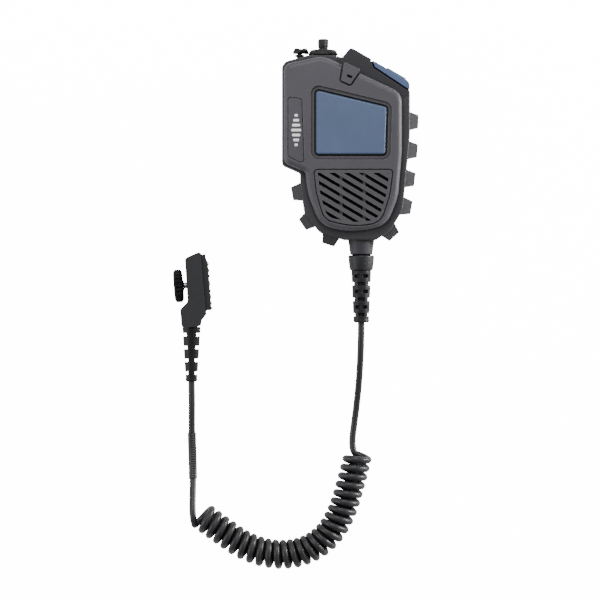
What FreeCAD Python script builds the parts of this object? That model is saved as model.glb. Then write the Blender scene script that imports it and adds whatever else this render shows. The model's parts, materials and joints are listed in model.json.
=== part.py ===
import FreeCAD, Part
import math
import os
import re

import Sketcher
from FreeCAD import Placement, Rotation, Vector

# Hand microphone, lying face up on its rear clip, with its curly cord and its connector.
# Millimetres. +Y runs from the cord end to the top, +Z is the speaking side.
# The origin is on the surface below the middle of the microphone.

doc = FreeCAD.newDocument("hand_microphone")
sheet = doc.addObject("Spreadsheet::Sheet", "sizes")

SIZES = {
    # plan of the rubber armour, the outermost line of the body
    "body_left": 37.6, "body_right": 32.9, "top_left_y": 64.2, "crown_y": 68.2,
    "valley_x": -4.6, "valley_y": 66.9, "peak_x": 0.3, "peak_y": 72.6, "shoulder_y": 53.8,
    "waist_y": 24, "grip_left": 27.6, "step_y": 3.6, "step_rise": 4.4, "chin_y": 33.4,
    # plan of the two shells, set in from the armour
    "rim_left": 1.1, "rim_right": 4.6, "shell_top_left_y": 62.9, "shell_crest_y": 67.6,
    "shell_shoulder_y": 47.2, "shell_chin_y": 29.5, "shell_grip_left": 24.6,
    # heights
    "clip_deep": 10.8, "clip_gap": 0.2, "rear_deep": 13, "seal_thick": 0.8, "front_deep": 13.6,
    "wall": 2, "face_thick": 2.4, "edge_round": 3,
    "armour_low": 2.2, "armour_deep": 19, "tooth_deep": 17, "tooth_base": 10.4, "tooth_tip": 7,
    "tooth_slope": 3.2,
    "tooth_out": 4.7, "tooth_root": 2,
    # press-to-talk bar
    "ptt_left": 18.8, "ptt_right": 19.9, "ptt_top_left_y": 48.6, "ptt_top_right_y": 39.3,
    "ptt_bottom_y": 13.5, "ptt_corner": 1.6, "ptt_margin": 3, "ptt_sink": 1.3, "ptt_proud": 1.5,
    "ptt_fit": 1.1, "ptt_lip": 1.9, "ptt_flange": 1.6,
    "ptt_travel": 1.2, "ptt_stem_r": 2.5, "press_spare": 0.15,
    "ptt_x": 0.6, "ptt_y": 30, "switch_wide": 6.2, "switch_tall": 4.3,
    # grille and loudspeaker
    "grille_left": 19.6, "grille_right": 23, "grille_top_y": 4.8, "grille_low_y": 25.9,
    "grille_thick": 1.8, "grille_ledge": 1.4, "grille_fit": 0.8, "slot_wide": 1.8,
    "slot_pitch": 4.07, "slot_turn": -30.5, "slot_edge": 1.5, "rib_left_x": -5.1, "rib_right_x": 7.6,
    "rib_wide": 1.6, "rib_sink": 0.7, "slot_shift": 0.4, "speaker_x": 1.4, "speaker_y": -7.9,
    "speaker_r": 17, "speaker_lip": 2.2, "speaker_deep": 6, "speaker_plate": 1,
    "speaker_gasket": 0.8, "magnet_r": 9, "magnet_deep": 4,
    "cloth_thick": 0.3,
    # badge recess, microphone port
    "badge_x": -31.4, "badge_left": 2.6, "badge_right": 4.6, "badge_top_y": 44.8,
    "badge_low_y": 8.4, "badge_sink": 0.8, "badge_fit": 0.5, "port_x": 0, "port_y": 57.4,
    "port_sink": 1.8, "port_slot_wide": 3, "port_slot_tall": 1.3, "port_slot_turn": -20,
    "capsule_r": 3, "capsule_deep": 4.2, "sleeve_wall": 1.2, "capsule_drop": 5,
    "port_gap": 1.1,
    # circuit board, posts and screws
    "board_gap": 1, "board_thick": 1.6, "board_rise": 6.6, "post_r": 3.4, "post_fit": 0.4,
    "screw_r": 1.5, "screw_fit": 0.15, "screw_head_r": 2.8, "screw_head_deep": 1.8,
    "screw_sunk": 0.8, "insert_r": 2.3, "insert_deep": 6, "boss_deep": 8, "stand_r": 2.6,
    "board_screw_r": 1.1, "board_screw_deep": 5, "board_head_r": 2.1, "board_head_deep": 1.3,
    # upper key in the slanting shoulder
    "shoulder_deep": 11.6, "joint_line": 0.12, "key_start": 13.4, "key_corner": 37.6,
    "key_thick": 2.9, "key_drop": 4.2, "key_tip": 2.4, "key_fit": 0.2, "key_travel": 0.6,
    "key_spare": 0.15, "grip_start": 23, "grip_long": 12, "grip_proud": 0.6,
    "key_switch_wide": 6, "key_switch_tall": 2.6,
    # headset socket and its dust cap
    "socket_x": -14.8, "socket_bore": 3.2, "socket_r": 5.2, "socket_deep": 14,
    "insert_wall": 0.8, "pin_r": 0.35, "pin_ring": 1.7, "pin_out": 4, "cap_flange_r": 8.1,
    "cap_flange": 3.5, "cap_slope": 1.6, "cap_knob_r": 3, "cap_knob": 6, "cap_plug": 5, "cap_fit": 0.05,
    "cap_neck_r": 2.1, "tether_r": 0.85, "anchor_r": 1.6,
    "cap_seat": 0.35,
    # gland, cord clamp and boot at the cord end
    "neck_x": 6.2, "neck_r": 7.3, "neck_end_r": 6.1, "neck_long": 8.2, "collar_r": 7.2,
    "collar_long": 8.6, "collar_end_r": 6.5, "thread_r": 5.1, "boot_r": 5.6, "boot_end_r": 4.4,
    "boot_long": 28.6, "boot_groove": 1, "boot_shank_r": 4.2, "boot_fit": 0.06, "boot_rings": 3,
    "way_fit": 0.1, "neck_root": 3.6, "clamp_long": 5, "clamp_wide": 11, "clamp_tall": 9, "clamp_gap": 2.8,
    "cord_end_y": -18,
    # cord
    "cord_r": 1.9, "coil_r": 8.4, "sleeve_r": 2.35,
    # rear clip
    "clip_x": -2, "clip_y": 22, "clip_plate_r": 15, "clip_plate": 2.6, "clip_wide": 26,
    "hinge_y": 52, "hinge_z": 5.2, "hinge_pin_r": 1.25, "hinge_fit": 0.05, "ear_r": 3.2,
    "ear_wide": 2.6, "ear_fit": 0.3, "jaw_thick": 2.2, "jaw_low_y": -14, "jaw_tab": 9,
    "pad_long": 9, "pad_thick": 1.2, "axle_r": 2.5, "axle_head_r": 4.6, "axle_head": 1.1,
    "axle_fit": 0.05, "washer": 0.3, "bush_r": 4, "bush_deep": 5, "spring_wire": 0.6,
    "spring_coil_r": 2.5, "spring_long": 8, "spring_leg": 14,
    # connector on the cord's far end
    "plug_x": -87.9, "plug_y": -111.7, "plug_z": 9.4, "plug_lean": 4.5, "plug_boot_r": 5.2,
    "plug_boot_end_r": 3.2, "plug_boot_long": 30.4, "plug_throat_r": 3.6, "plug_throat": 6,
    "plug_deep": 15, "plug_body_long": 41.4, "plug_seam": 8.4, "plug_back": 0.8,
    "plug_heel_wide": 10.6, "plug_heel": 10.2, "plug_wall": 1.6, "block_wide": 4.8,
    "block_tall": 31.6, "block_low": 8.2, "block_deep": 11.6, "block_sunk": 1.4,
    "block_taper": 1.2, "plug_seal": 0.5,
    "block_fit": 0.15, "contact_r": 0.9, "contact_out": 0.5, "contact_pitch": 3.6,
    "contact_row": 4.4, "knob_r": 9.3, "knob_thick": 5, "knob_gap": 2.1, "thumb_r": 1.6,
    "thumb_out": 0.5, "thumb_fit": 0.05, "thumb_y": 23.2, "circlip_r": 2.6, "circlip": 0.6,
    "circlip_in": 1,
    "key_round": 1,
}
# Where the armour's eight bumps stand on its outline, and which way each one points.
TEETH = [(32.9, 32.2, -2), (32.4, 16.2, -4), (31.0, 0.6, -7), (29.2, -14.6, -10),
         (21.3, -28, -47), (-10.6, -31.4, -108), (-22.4, -22.2, -146), (-27.4, -6.9, -170)]
# Screws that hold the two shells together, and the ones that hold the board.
CASE_SCREWS = [(-31, 56.5), (21.9, 44.5), (-31, 14.5), (23, 8.5)]
BOARD_SCREWS = [(0, 52), (-26, 34), (10, 22)]

for place_number, (x, y, turn) in enumerate(TEETH, 1):
    SIZES[f"tooth{place_number}_x"] = x
    SIZES[f"tooth{place_number}_y"] = y
    SIZES[f"tooth{place_number}_turn"] = turn
for place_number, (x, y) in enumerate(CASE_SCREWS, 1):
    SIZES[f"case_screw{place_number}_x"] = x
    SIZES[f"case_screw{place_number}_y"] = y
for place_number, (x, y) in enumerate(BOARD_SCREWS, 1):
    SIZES[f"board_screw{place_number}_x"] = x
    SIZES[f"board_screw{place_number}_y"] = y

# Heights and places that follow from the sizes above.
HEIGHTS = {
    "rear_low": "clip_deep + clip_gap",
    "parting": "rear_low + rear_deep",
    "front_low": "parting + seal_thick",
    "face": "front_low + front_deep",
    "cavity_top": "face - face_thick",
    "board_low": "rear_low + face_thick + board_rise",
    "board_top": "board_low + board_thick",
    "armour_bottom": "rear_low + armour_low",
    "armour_top": "armour_bottom + armour_deep",
    "middle": "armour_bottom + armour_deep / 2",
    "sink_floor": "face - ptt_sink",
    "flange_top": "cavity_top - press_spare",
    "flange_low": "flange_top - ptt_flange",
    "switch_top": "board_top + switch_tall",
    "speaker_top": "cavity_top - speaker_gasket",
    "speaker_low": "speaker_top - speaker_plate - speaker_deep",
    "plate_low": "clip_deep - clip_plate",
    "slope_turn": "atan2(shoulder_y - peak_y; body_right - peak_x) / 1 deg",
    "heel_y": "plug_y + plug_boot_long",
    "block_face": "plug_seam - block_sunk + block_wide",
    "block_back": "plug_seam - block_sunk - plug_seal",
    "knob_back": "-plug_back - knob_gap - knob_thick",
    "gland_ground": "wall + clamp_gap - shell_chin_y",
    "key_low": "middle - 6.2",
    "switch_face": "-key_thick - key_travel - key_spare - 0.9",
}

rows = list(SIZES.items()) + [(name, "=" + formula) for name, formula in HEIGHTS.items()]
for row, (name, value) in enumerate(rows, 1):
    sheet.set(f"A{row}", name)
    sheet.set(f"B{row}", str(value))
    sheet.setAlias(f"B{row}", name)
doc.recompute()

NAMES = set(SIZES) | set(HEIGHTS)
WORD = re.compile(r"[A-Za-z_]\w*")
NODES = {}


def number(expression):
    """The value that a sheet expression has now."""
    value = sheet.evalExpression(str(expression))
    return float(getattr(value, "Value", value))


def bind(thing, prop, expression):
    """Tie a property to the sheet."""
    tied = WORD.sub(lambda m: "sizes." + m.group() if m.group() in NAMES else m.group(),
                    str(expression))
    thing.setExpression(prop, tied)


def put(thing, x=0, y=0, z=0, axis=None, turn=0):
    """Place an object with its base, and its turn about an axis, tied to the sheet."""
    if axis is not None:
        thing.Placement = Placement(Vector(), Rotation(Vector(*axis), number(turn)))
        bind(thing, "Placement.Rotation.Angle", turn)
    for name, value in zip("xyz", (x, y, z)):
        bind(thing, f"Placement.Base.{name}", value)
    return thing


def node(label, thing):
    """Name a finished sub-part."""
    thing.Label = label
    NODES[label] = thing
    return thing


def pin_point(sketch, geometry, end, x, y):
    """Fix one point of a sketch at sheet expressions, or on an axis where one is 0."""
    for kind, value, axis in (("DistanceX", x, -2), ("DistanceY", y, -1)):
        if str(value) == "0":
            sketch.addConstraint(Sketcher.Constraint("PointOnObject", geometry, end, axis))
        else:
            row = sketch.addConstraint(
                Sketcher.Constraint(kind, -1, 1, geometry, end, number(value)))
            bind(sketch, f"Constraints[{row}]", value)


def draw(sketch, corners):
    """Closed outline through corners (x, y, radius), straight sides joined by tangent arcs."""
    spots = [Vector(number(x), number(y), 0) for x, y, _ in corners]
    count = len(spots)
    ends = []
    arcs = {}
    for i, (x, y, radius) in enumerate(corners):
        here = spots[i]
        back = (spots[i - 1] - here).normalize()
        ahead = (spots[(i + 1) % count] - here).normalize()
        size = number(radius)
        if size == 0:
            ends.append((here, here))
            continue
        half = back.getAngle(ahead) / 2
        reach = size / math.tan(half)
        centre = here + (back + ahead).normalize() * (size / math.sin(half))
        first, last = here + back * reach, here + ahead * reach
        ends.append((first, last))
        left_turn = back.cross(ahead).z < 0
        low, high = (first, last) if left_turn else (last, first)
        start = math.atan2(low.y - centre.y, low.x - centre.x)
        stop = math.atan2(high.y - centre.y, high.x - centre.x)
        if stop < start:
            stop += 2 * math.pi
        circle = Part.Circle(centre, Vector(0, 0, 1), size)
        arcs[i] = (sketch.addGeometry(Part.ArcOfCircle(circle, start, stop)), left_turn)
    lines = []
    for i in range(count):
        side = Part.LineSegment(ends[i][1], ends[(i + 1) % count][0])
        lines.append(sketch.addGeometry(side))
    for i, (x, y, radius) in enumerate(corners):
        before, after = lines[i - 1], lines[i]
        if i not in arcs:
            sketch.addConstraint(Sketcher.Constraint("Coincident", before, 2, after, 1))
            pin_point(sketch, after, 1, x, y)
            continue
        arc, left_turn = arcs[i]
        enter, leave = (1, 2) if left_turn else (2, 1)
        sketch.addConstraint(Sketcher.Constraint("Tangent", before, 2, arc, enter))
        sketch.addConstraint(Sketcher.Constraint("Tangent", arc, leave, after, 1))
        row = sketch.addConstraint(Sketcher.Constraint("Radius", arc, number(radius)))
        bind(sketch, f"Constraints[{row}]", radius)
        corner = sketch.addGeometry(Part.Point(spots[i]), True)
        sketch.addConstraint(Sketcher.Constraint("PointOnObject", corner, 1, before))
        sketch.addConstraint(Sketcher.Constraint("PointOnObject", corner, 1, after))
        pin_point(sketch, corner, 1, x, y)
    return sketch


def outline(name, corners):
    """A free-standing outline in the ground plane."""
    return draw(doc.addObject("Sketcher::SketchObject", name), corners)


def grown(name, source, amount):
    """An outline set out, or in where the amount is negative, by an even distance."""
    offset = doc.addObject("Part::Offset2D", name)
    offset.Source = source
    offset.Join = 0
    bind(offset, "Value", amount)
    return offset


def slab(name, flat, low, high):
    """An outline made solid between two heights."""
    solid = doc.addObject("Part::Extrusion", name)
    solid.Base = flat
    solid.DirMode = "Custom"
    solid.Dir = Vector(0, 0, 1)
    solid.Solid = True
    bind(solid, "LengthFwd", f"({high}) - ({low})")
    return put(solid, z=low)


def box(name, x, y, z, wide, deep, tall):
    """A box from its low corner."""
    solid = doc.addObject("Part::Box", name)
    bind(solid, "Length", wide)
    bind(solid, "Width", deep)
    bind(solid, "Height", tall)
    return put(solid, x, y, z)


ALONG = {"x": ((0, 1, 0), 90), "y": ((1, 0, 0), -90), "z": (None, 0)}


def rod(name, x, y, z, radius, length, along="z"):
    """A cylinder from the middle of its low end."""
    solid = doc.addObject("Part::Cylinder", name)
    bind(solid, "Radius", radius)
    bind(solid, "Height", length)
    axis, turn = ALONG[along]
    return put(solid, x, y, z, axis, turn)


def joined(name, solids):
    fused = doc.addObject("Part::MultiFuse", name)
    fused.Shapes = solids
    return fused


def group(name, solids):
    """Separate solids kept together as one sub-part."""
    compound = doc.addObject("Part::Compound", name)
    compound.Links = solids
    return compound


def cut(name, base, tools):
    """The base with every tool taken out of it."""
    tool = tools[0] if len(tools) == 1 else joined(name + "_tools", tools)
    result = doc.addObject("Part::Cut", name)
    result.Base = base
    result.Tool = tool
    return result


def shared(name, base, tool):
    result = doc.addObject("Part::Common", name)
    result.Base = base
    result.Tool = tool
    return result


def rounded(name, solid, height, size):
    """Round every edge that lies flat at one height."""
    doc.recompute()
    level, radius = number(height), number(size)
    edges = [(i, radius, radius) for i, edge in enumerate(solid.Shape.Edges, 1)
             if abs(edge.BoundBox.ZMin - level) < 1e-4 and abs(edge.BoundBox.ZMax - level) < 1e-4]
    fillet = doc.addObject("Part::Fillet", name)
    fillet.Base = solid
    fillet.Edges = edges
    return fillet


def origin_plane(body, role):
    return next(item for item in body.Origin.OriginFeatures if item.Role == role)


def turned(label, profile, x, y, z, along="z"):
    """A turned piece: a profile (radius, height) spun about its own axis."""
    body = node(label, doc.addObject("PartDesign::Body", label + "_body"))
    sketch = body.newObject("Sketcher::SketchObject", label + "_profile")
    sketch.AttachmentSupport = [(origin_plane(body, "XZ_Plane"), "")]
    sketch.MapMode = "FlatFace"
    draw(sketch, [(r, h, 0) for r, h in profile])
    spun = body.newObject("PartDesign::Revolution", label + "_turn")
    spun.Profile = sketch
    spun.ReferenceAxis = (sketch, ["V_Axis"])
    spun.Angle = 360
    axis, turn = ALONG[along]
    return put(body, x, y, z, axis, turn)


# ---- outlines shared by the casing -------------------------------------------------------

armour_line = outline("armour_line", [
    ("-body_left", "top_left_y", 5), (-23, "crown_y", 4), ("valley_x - 4", "crown_y", 2),
    ("valley_x", "valley_y", 1.2), ("peak_x", "peak_y", 2), ("body_right", "shoulder_y", 4),
    ("body_right", "waist_y", 60), ("body_right - 4", -17, 14), ("body_right - 11", -28.5, 8),
    ("neck_x + 8", "-chin_y", 3), ("neck_x - 9", "-chin_y", 3), (-16.5, "4 - chin_y", 7),
    ("2.3 - grip_left", -18.5, 8), ("-grip_left", -2, 10), ("-grip_left", "step_y", 1.5),
    ("-body_left", "step_y + step_rise", 3)])

shell_line = outline("shell_line", [
    ("rim_left - body_left", "shell_top_left_y", 5), (-15, "shell_crest_y", 14),
    ("body_right - rim_right", "shell_shoulder_y", 8), ("body_right - rim_right", 15, 60),
    ("body_right - rim_right - 2.1", -10, 30), ("20", "4.5 - shell_chin_y", 12),
    (2.6, "-shell_chin_y - 0.4", 45), (-16.5, "4 - shell_chin_y", 13),
    ("1.1 - shell_grip_left", -8, 40), ("-shell_grip_left", 3.8, 3),
    ("rim_left - body_left", 8.8, 4.5)])
shell_inside = grown("shell_inside", shell_line, "-wall")

ptt_line = outline("ptt_line", [
    ("-ptt_left", "ptt_top_left_y", "ptt_corner"), ("ptt_right", "ptt_top_right_y", "ptt_corner"),
    ("ptt_right - 0.8", "ptt_bottom_y", "ptt_corner"),
    ("-ptt_left", "ptt_bottom_y", "ptt_corner")])

grille_line = outline("grille_line", [
    ("-grille_left", "grille_top_y", 1.5), ("grille_right", "grille_top_y", 1.5),
    ("grille_right - 1.8", -9, 30), ("grille_right - 6.5", "2.4 - grille_low_y", 9),
    (2.5, "-grille_low_y", 40), ("5.6 - grille_left", "3.7 - grille_low_y", 8),
    ("1.4 - grille_left", -8, 30)])

badge_line = outline("badge_line", [
    ("badge_x - badge_left", "badge_top_y", 1.6), ("badge_x + badge_right", "badge_top_y - 1", 1.6),
    ("badge_x + badge_right + 1.2", "badge_low_y", 1.6), ("badge_x - badge_left", "badge_low_y + 4", 1.6)])

port_line = outline("port_line", [
    ("port_x - 3.4", "port_y + 6.7", 0.8), ("port_x + 5.6", "port_y + 2.5", 0.8),
    ("port_x - 0.1", "port_y - 5.8", 0.8), ("port_x - 5.2", "port_y - 3.5", 0.8)])


# ---- casing ------------------------------------------------------------------------------

def case_rods(name, low, high, radius):
    """One upright cylinder at each case screw."""
    return [rod(f"{name}_{i}", f"case_screw{i}_x", f"case_screw{i}_y", low, radius,
                f"({high}) - ({low})") for i in range(1, len(CASE_SCREWS) + 1)]


def board_rods(name, low, high, radius):
    """One upright cylinder at each board screw."""
    return [rod(f"{name}_{i}", f"board_screw{i}_x", f"board_screw{i}_y", low, radius,
                f"({high}) - ({low})") for i in range(1, len(BOARD_SCREWS) + 1)]


def cable_ways(name):
    """The round ways for the cord gland and the headset socket, through any wall they meet."""
    return [rod(f"{name}_gland_way", "neck_x", "-chin_y - 2", "middle",
                "boot_shank_r + way_fit", 12, "y"),
            rod(f"{name}_socket_way", "socket_x", "crown_y - 10", "middle",
                "socket_r + way_fit", 14, "y")]


def port_slot(name):
    """The slot that lets sound in to the capsule."""
    slot = box(name, 0, 0, 0, "port_slot_wide", "port_slot_tall", "face_thick + 3")
    return put(slot, "port_x - port_slot_wide / 2 - 0.6", "port_y - 1.4", "cavity_top - 1",
               (0, 0, 1), "port_slot_turn")


def make_front_shell():
    """Front half of the case, a shallow lid with its openings."""
    block = rounded("front_round", slab("front_block", shell_line, "front_low", "face"),
                    "face", "edge_round")
    hollow = slab("front_hollow", shell_inside, "front_low - 1", "cavity_top")
    lid = cut("front_lid", block, [hollow])
    bosses = case_rods("front_boss", "front_low", "front_low + boss_deep", "post_r")
    webs = case_rods("front_boss_web", "front_low + boss_deep", "cavity_top", "post_r - 1")
    tray = grown("ptt_tray_line", ptt_line, "ptt_margin")
    hole = grown("ptt_hole_line", ptt_line, "ptt_fit")
    seat = grown("grille_seat_line", grille_line, "grille_fit")
    through = grown("grille_through_line", grille_line, "-grille_ledge")
    badge = grown("badge_seat_line", badge_line, "badge_fit")
    tools = [slab("ptt_tray", tray, "sink_floor", "face + 1"),
             slab("ptt_hole", hole, "cavity_top - 3", "face + 1"),
             slab("grille_seat", seat, "face - grille_thick + 0.3", "face + 1"),
             slab("grille_through", through, "cavity_top - 1", "face"),
             slab("badge_seat", badge, "face - badge_sink", "face + 1"),
             slab("port_dish", grown("port_dish_line", port_line, "port_gap"),
                  "face - port_sink", "face + 1"),
             port_slot("port_way"), *cable_ways("front")]
    tools += case_rods("insert_seat", "front_low - 1", "front_low + insert_deep", "insert_r")
    node("front_shell", cut("front", joined("front_solid", [lid] + bosses + webs), tools))


def make_rear_shell():
    """Rear half of the case, a tray with screw posts and board stands."""
    block = rounded("rear_round", slab("rear_block", shell_line, "rear_low", "parting"),
                    "rear_low", "edge_round")
    hollow = slab("rear_hollow", shell_inside, "rear_low + face_thick", "parting + 1")
    tray = cut("rear_tray", block, [hollow])
    posts = case_rods("rear_post", "rear_low + face_thick - 0.5", "parting", "post_r")
    stands = board_rods("stand", "rear_low + face_thick - 0.5", "board_low", "stand_r")
    bush = rod("bush_boss", "clip_x", "clip_y", "rear_low", "bush_r + wall", "bush_deep + 1")
    tools = case_rods("screw_way", "rear_low - 1", "parting + 1", "screw_r + screw_fit")
    tools += case_rods("screw_dish", "rear_low - 1", "rear_low + screw_sunk + screw_head_deep",
                       "screw_head_r + screw_fit")
    tools += board_rods("stand_way", "board_low - board_screw_deep", "board_low + 1",
                        "board_screw_r")
    tools += [rod("bush_way", "clip_x", "clip_y", "rear_low - 1", "bush_r", "bush_deep + 1"),
              *cable_ways("rear")]
    node("rear_shell", cut("rear", joined("rear_solid", [tray, bush] + posts + stands), tools))


def make_case_seal():
    """Flat rubber seal between the two shells."""
    ring = cut("seal_ring_flat", slab("seal_out", grown("seal_out_line", shell_line, -0.2),
                                      "parting", "front_low"),
               [slab("seal_in", grown("seal_in_line", shell_line, "0.2 - wall"),
                     "parting - 1", "front_low + 1"), *cable_ways("seal")])
    node("case_seal", ring)


def tooth(i):
    """One block of the armour, narrower and lower at its tip than at its root."""
    solid = doc.addObject("Part::Wedge", f"tooth{i}_block")
    bind(solid, "Xmin", "-tooth_base / 2")
    bind(solid, "Xmax", "tooth_base / 2")
    bind(solid, "X2min", "-tooth_tip / 2")
    bind(solid, "X2max", "tooth_tip / 2")
    bind(solid, "Ymin", "-tooth_root")
    bind(solid, "Ymax", "tooth_out")
    bind(solid, "Zmin", "-tooth_deep / 2")
    bind(solid, "Zmax", "tooth_deep / 2")
    bind(solid, "Z2min", "tooth_slope - tooth_deep / 2")
    bind(solid, "Z2max", "tooth_deep / 2 - tooth_slope")
    return put(solid, f"tooth{i}_x", f"tooth{i}_y", "middle", (0, 0, 1), f"tooth{i}_turn - 90")


def make_armour():
    """Rubber armour that wraps the case, with the shoulder block set in its upper corner."""
    block = rounded("armour_round_top", slab("armour_block", armour_line, "armour_bottom",
                                             "armour_top"), "armour_top", 1)
    teeth = [tooth(i) for i in range(1, len(TEETH) + 1)]
    full = joined("armour_full", [block] + teeth)
    core = slab("armour_core", shell_line, "armour_bottom - 1", "armour_top + 1")
    neck = rod("neck_way", "neck_x", "-chin_y - 1", "middle", "neck_r + 0.05", "neck_root + 4", "y")
    socket = rod("armour_socket_way", "socket_x", "crown_y - 8", "middle", "socket_r + 0.1", 12, "y")
    anchor = rod("armour_anchor_way", "socket_x - 13", "top_left_y - 1", "middle",
                 "anchor_r", 5, "y")
    ring = cut("armour_ring", full, [core, neck, socket, anchor])
    node("armour", cut("armour_cut", ring, [shoulder_zone("zone_wide", "joint_line")]))
    corner = shared("shoulder_raw", ring, shoulder_zone("zone", 0))
    switch = slope_box("switch_well", "key_start + 12 - key_switch_wide / 2 - 0.1",
                       "switch_face - key_switch_tall - 0.1", "middle - 3.1",
                       "key_switch_wide + 0.2", "key_switch_tall + 2", 6.2)
    node("shoulder_block", cut("shoulder", corner, [key_well(), switch]))


def shoulder_zone(name, spare):
    """The space of the shoulder block, along the slope from the valley to the right side."""
    flat = outline(name + "_line", [
        (f"-2 - ({spare})", f"-shoulder_deep - ({spare})", 0),
        (f"38 + ({spare})", f"-shoulder_deep - ({spare})", 0), ("60", "20", 0), ("-2 - 20", "20", 0)])
    solid = slab(name, flat, 0, "armour_top + 5")
    return put(solid, "peak_x", "peak_y", 0, (0, 0, 1), "slope_turn")


def key_well():
    """The well in the shoulder, with room round the key for its travel."""
    drop = "(key_travel + key_spare)"
    flat = outline("key_well_line", [
        ("key_start - key_fit", 4, 0), (54, 4, 0), (54, f"-key_drop - {drop}", 0),
        ("key_corner + 0.4 - key_fit", f"-key_drop - {drop}", 0),
        ("key_start + 3.4 - key_fit", f"-key_thick - {drop}", 0),
        ("key_start - key_fit", f"-key_fit - {drop}", 0)])
    solid = slab("key_well", flat, "key_low - key_fit", "armour_top + 1")
    return put(solid, "peak_x", "peak_y", "key_low - key_fit", (0, 0, 1), "slope_turn")


def slope_box(name, along, out, z, long, deep, tall):
    """A box square to the slanting shoulder."""
    solid = box(name, 0, 0, 0, long, deep, tall)
    flat = f"({along}) * cos(slope_turn * 1 deg) - ({out}) * sin(slope_turn * 1 deg)"
    rise = f"({along}) * sin(slope_turn * 1 deg) + ({out}) * cos(slope_turn * 1 deg)"
    return put(solid, f"peak_x + {flat}", f"peak_y + {rise}", z, (0, 0, 1), "slope_turn")


def make_case_fasteners():
    """Case screws with their brass inserts, and the board's screws."""
    head = "rear_low + screw_sunk"
    screws = []
    for i in range(1, len(CASE_SCREWS) + 1):
        x, y = f"case_screw{i}_x", f"case_screw{i}_y"
        cap = rod(f"case_head_{i}", x, y, head, "screw_head_r", "screw_head_deep")
        shank = rod(f"case_shank_{i}", x, y, head, "screw_r",
                    "front_low + insert_deep - 1 - rear_low - screw_sunk")
        slot = box(f"case_drive_{i}", f"{x} - 1.8", f"{y} - 0.4", "rear_low + screw_sunk - 1", 3.6,
                   0.8, 1.8)
        screws.append(cut(f"case_screw_solid_{i}", joined(f"case_screw_raw_{i}", [cap, shank]), [slot]))
    node("case_screws", group("case_screw_set", screws))
    inserts = [cut(f"insert_{i}", rod(f"insert_out_{i}", f"case_screw{i}_x", f"case_screw{i}_y",
                                      "front_low", "insert_r", "insert_deep"),
                   [rod(f"insert_in_{i}", f"case_screw{i}_x", f"case_screw{i}_y", "front_low - 1",
                        "screw_r", "insert_deep + 2")]) for i in range(1, len(CASE_SCREWS) + 1)]
    node("screw_inserts", group("insert_set", inserts))
    small = []
    for i in range(1, len(BOARD_SCREWS) + 1):
        x, y = f"board_screw{i}_x", f"board_screw{i}_y"
        cap = rod(f"board_head_{i}", x, y, "board_top", "board_head_r", "board_head_deep")
        shank = rod(f"board_shank_{i}", x, y, "board_top - board_screw_deep", "board_screw_r",
                    "board_screw_deep + 0.1")
        small.append(joined(f"board_screw_solid_{i}", [cap, shank]))
    node("board_screws", group("board_screw_set", small))


# ---- press-to-talk bar, keys and electronics ---------------------------------------------

def make_ptt():
    """Press-to-talk bar, the rubber carrier it is bonded to, and the switch below them."""
    bar = slab("ptt_bar", ptt_line, "flange_top", "sink_floor + ptt_proud")
    node("ptt_button", rounded("ptt_round", bar, "sink_floor + ptt_proud", "key_round"))
    flange = slab("ptt_rim", grown("ptt_rim_line", ptt_line, "ptt_lip"), "flange_low", "flange_top")
    low = "switch_top + ptt_travel + press_spare"
    stem = rod("ptt_stem", "ptt_x", "ptt_y", low, "ptt_stem_r", f"flange_low + 0.5 - ({low})")
    node("ptt_carrier", joined("ptt_carrier_solid", [flange, stem]))
    base = box("ptt_switch_base", "ptt_x - switch_wide / 2", "ptt_y - switch_wide / 2", "board_top",
               "switch_wide", "switch_wide", "switch_tall - 1")
    dome = rod("ptt_switch_dome", "ptt_x", "ptt_y", "board_top + 0.5", 1.75, "switch_tall - 0.5")
    node("ptt_switch", joined("ptt_switch_solid", [base, dome]))


def make_top_key():
    """Key that follows the slanting shoulder round its corner, its grip strip and its switch."""
    flat = outline("key_line", [
        ("key_start", "-key_fit", 0.4), ("key_corner", "-key_fit", 4),
        ("key_corner + key_drop / 2", "-key_drop", 0.4),
        ("key_corner + key_drop / 2 - key_tip", "-key_drop", 0.4),
        ("key_start + 3.4", "-key_thick", 0.6)])
    bar = rounded("key_round_top", slab("key_bar", flat, "key_low", "armour_top - 0.2"),
                  "armour_top - 0.2", 0.4)
    node("top_key", put(bar, "peak_x", "peak_y", 0, (0, 0, 1), "slope_turn"))
    node("key_grip", slope_box("grip_strip", "grip_start", "-key_fit", "middle - 5",
                               "grip_long", "grip_proud", "armour_top - middle + 4"))
    node("top_key_switch", slope_box(
        "key_switch_block", "key_start + 12 - key_switch_wide / 2", "switch_face - key_switch_tall",
        "middle - 3", "key_switch_wide", "key_switch_tall", 6))


def make_board():
    """Circuit board round the posts, with its chips and the ribbon connector."""
    flat = slab("board_flat", grown("board_line", shell_line, "-wall - board_gap"), "board_low",
                "board_top")
    holes = case_rods("board_post_way", "board_low - 1", "board_top + 1", "post_r + post_fit")
    holes += board_rods("board_screw_way", "board_low - 1", "board_top + 1", "board_screw_r + 0.1")
    gland = box("board_gland_notch", "neck_x - clamp_wide / 2 - 1", "-shell_chin_y - 1",
                "board_low - 1", "clamp_wide + 2", "clamp_long + 8", "board_thick + 2")
    jack = box("board_jack_notch", "socket_x - socket_r - 1", "crown_y - socket_deep - pin_out - 2",
               "board_low - 1", "2 * socket_r + 2", 20, "board_thick + 2")
    node("main_board", cut("board", flat, holes + [gland, jack]))
    chips = [box(f"chip_{i}", x, y, "board_top", wide, deep, tall) for i, (x, y, wide, deep, tall)
             in enumerate([(-20, 36, 10, 10, 1.2), (8, 34, 8, 6, 1.4), (-24, 20, 6, 9, 1.6),
                           (-8, 38, 5, 5, 2)], 1)]
    node("board_chips", group("chip_set", chips))
    node("cord_header", box("header", "neck_x - 6", -17, "board_low - 4.2", 12, 5, 4.2))


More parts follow.
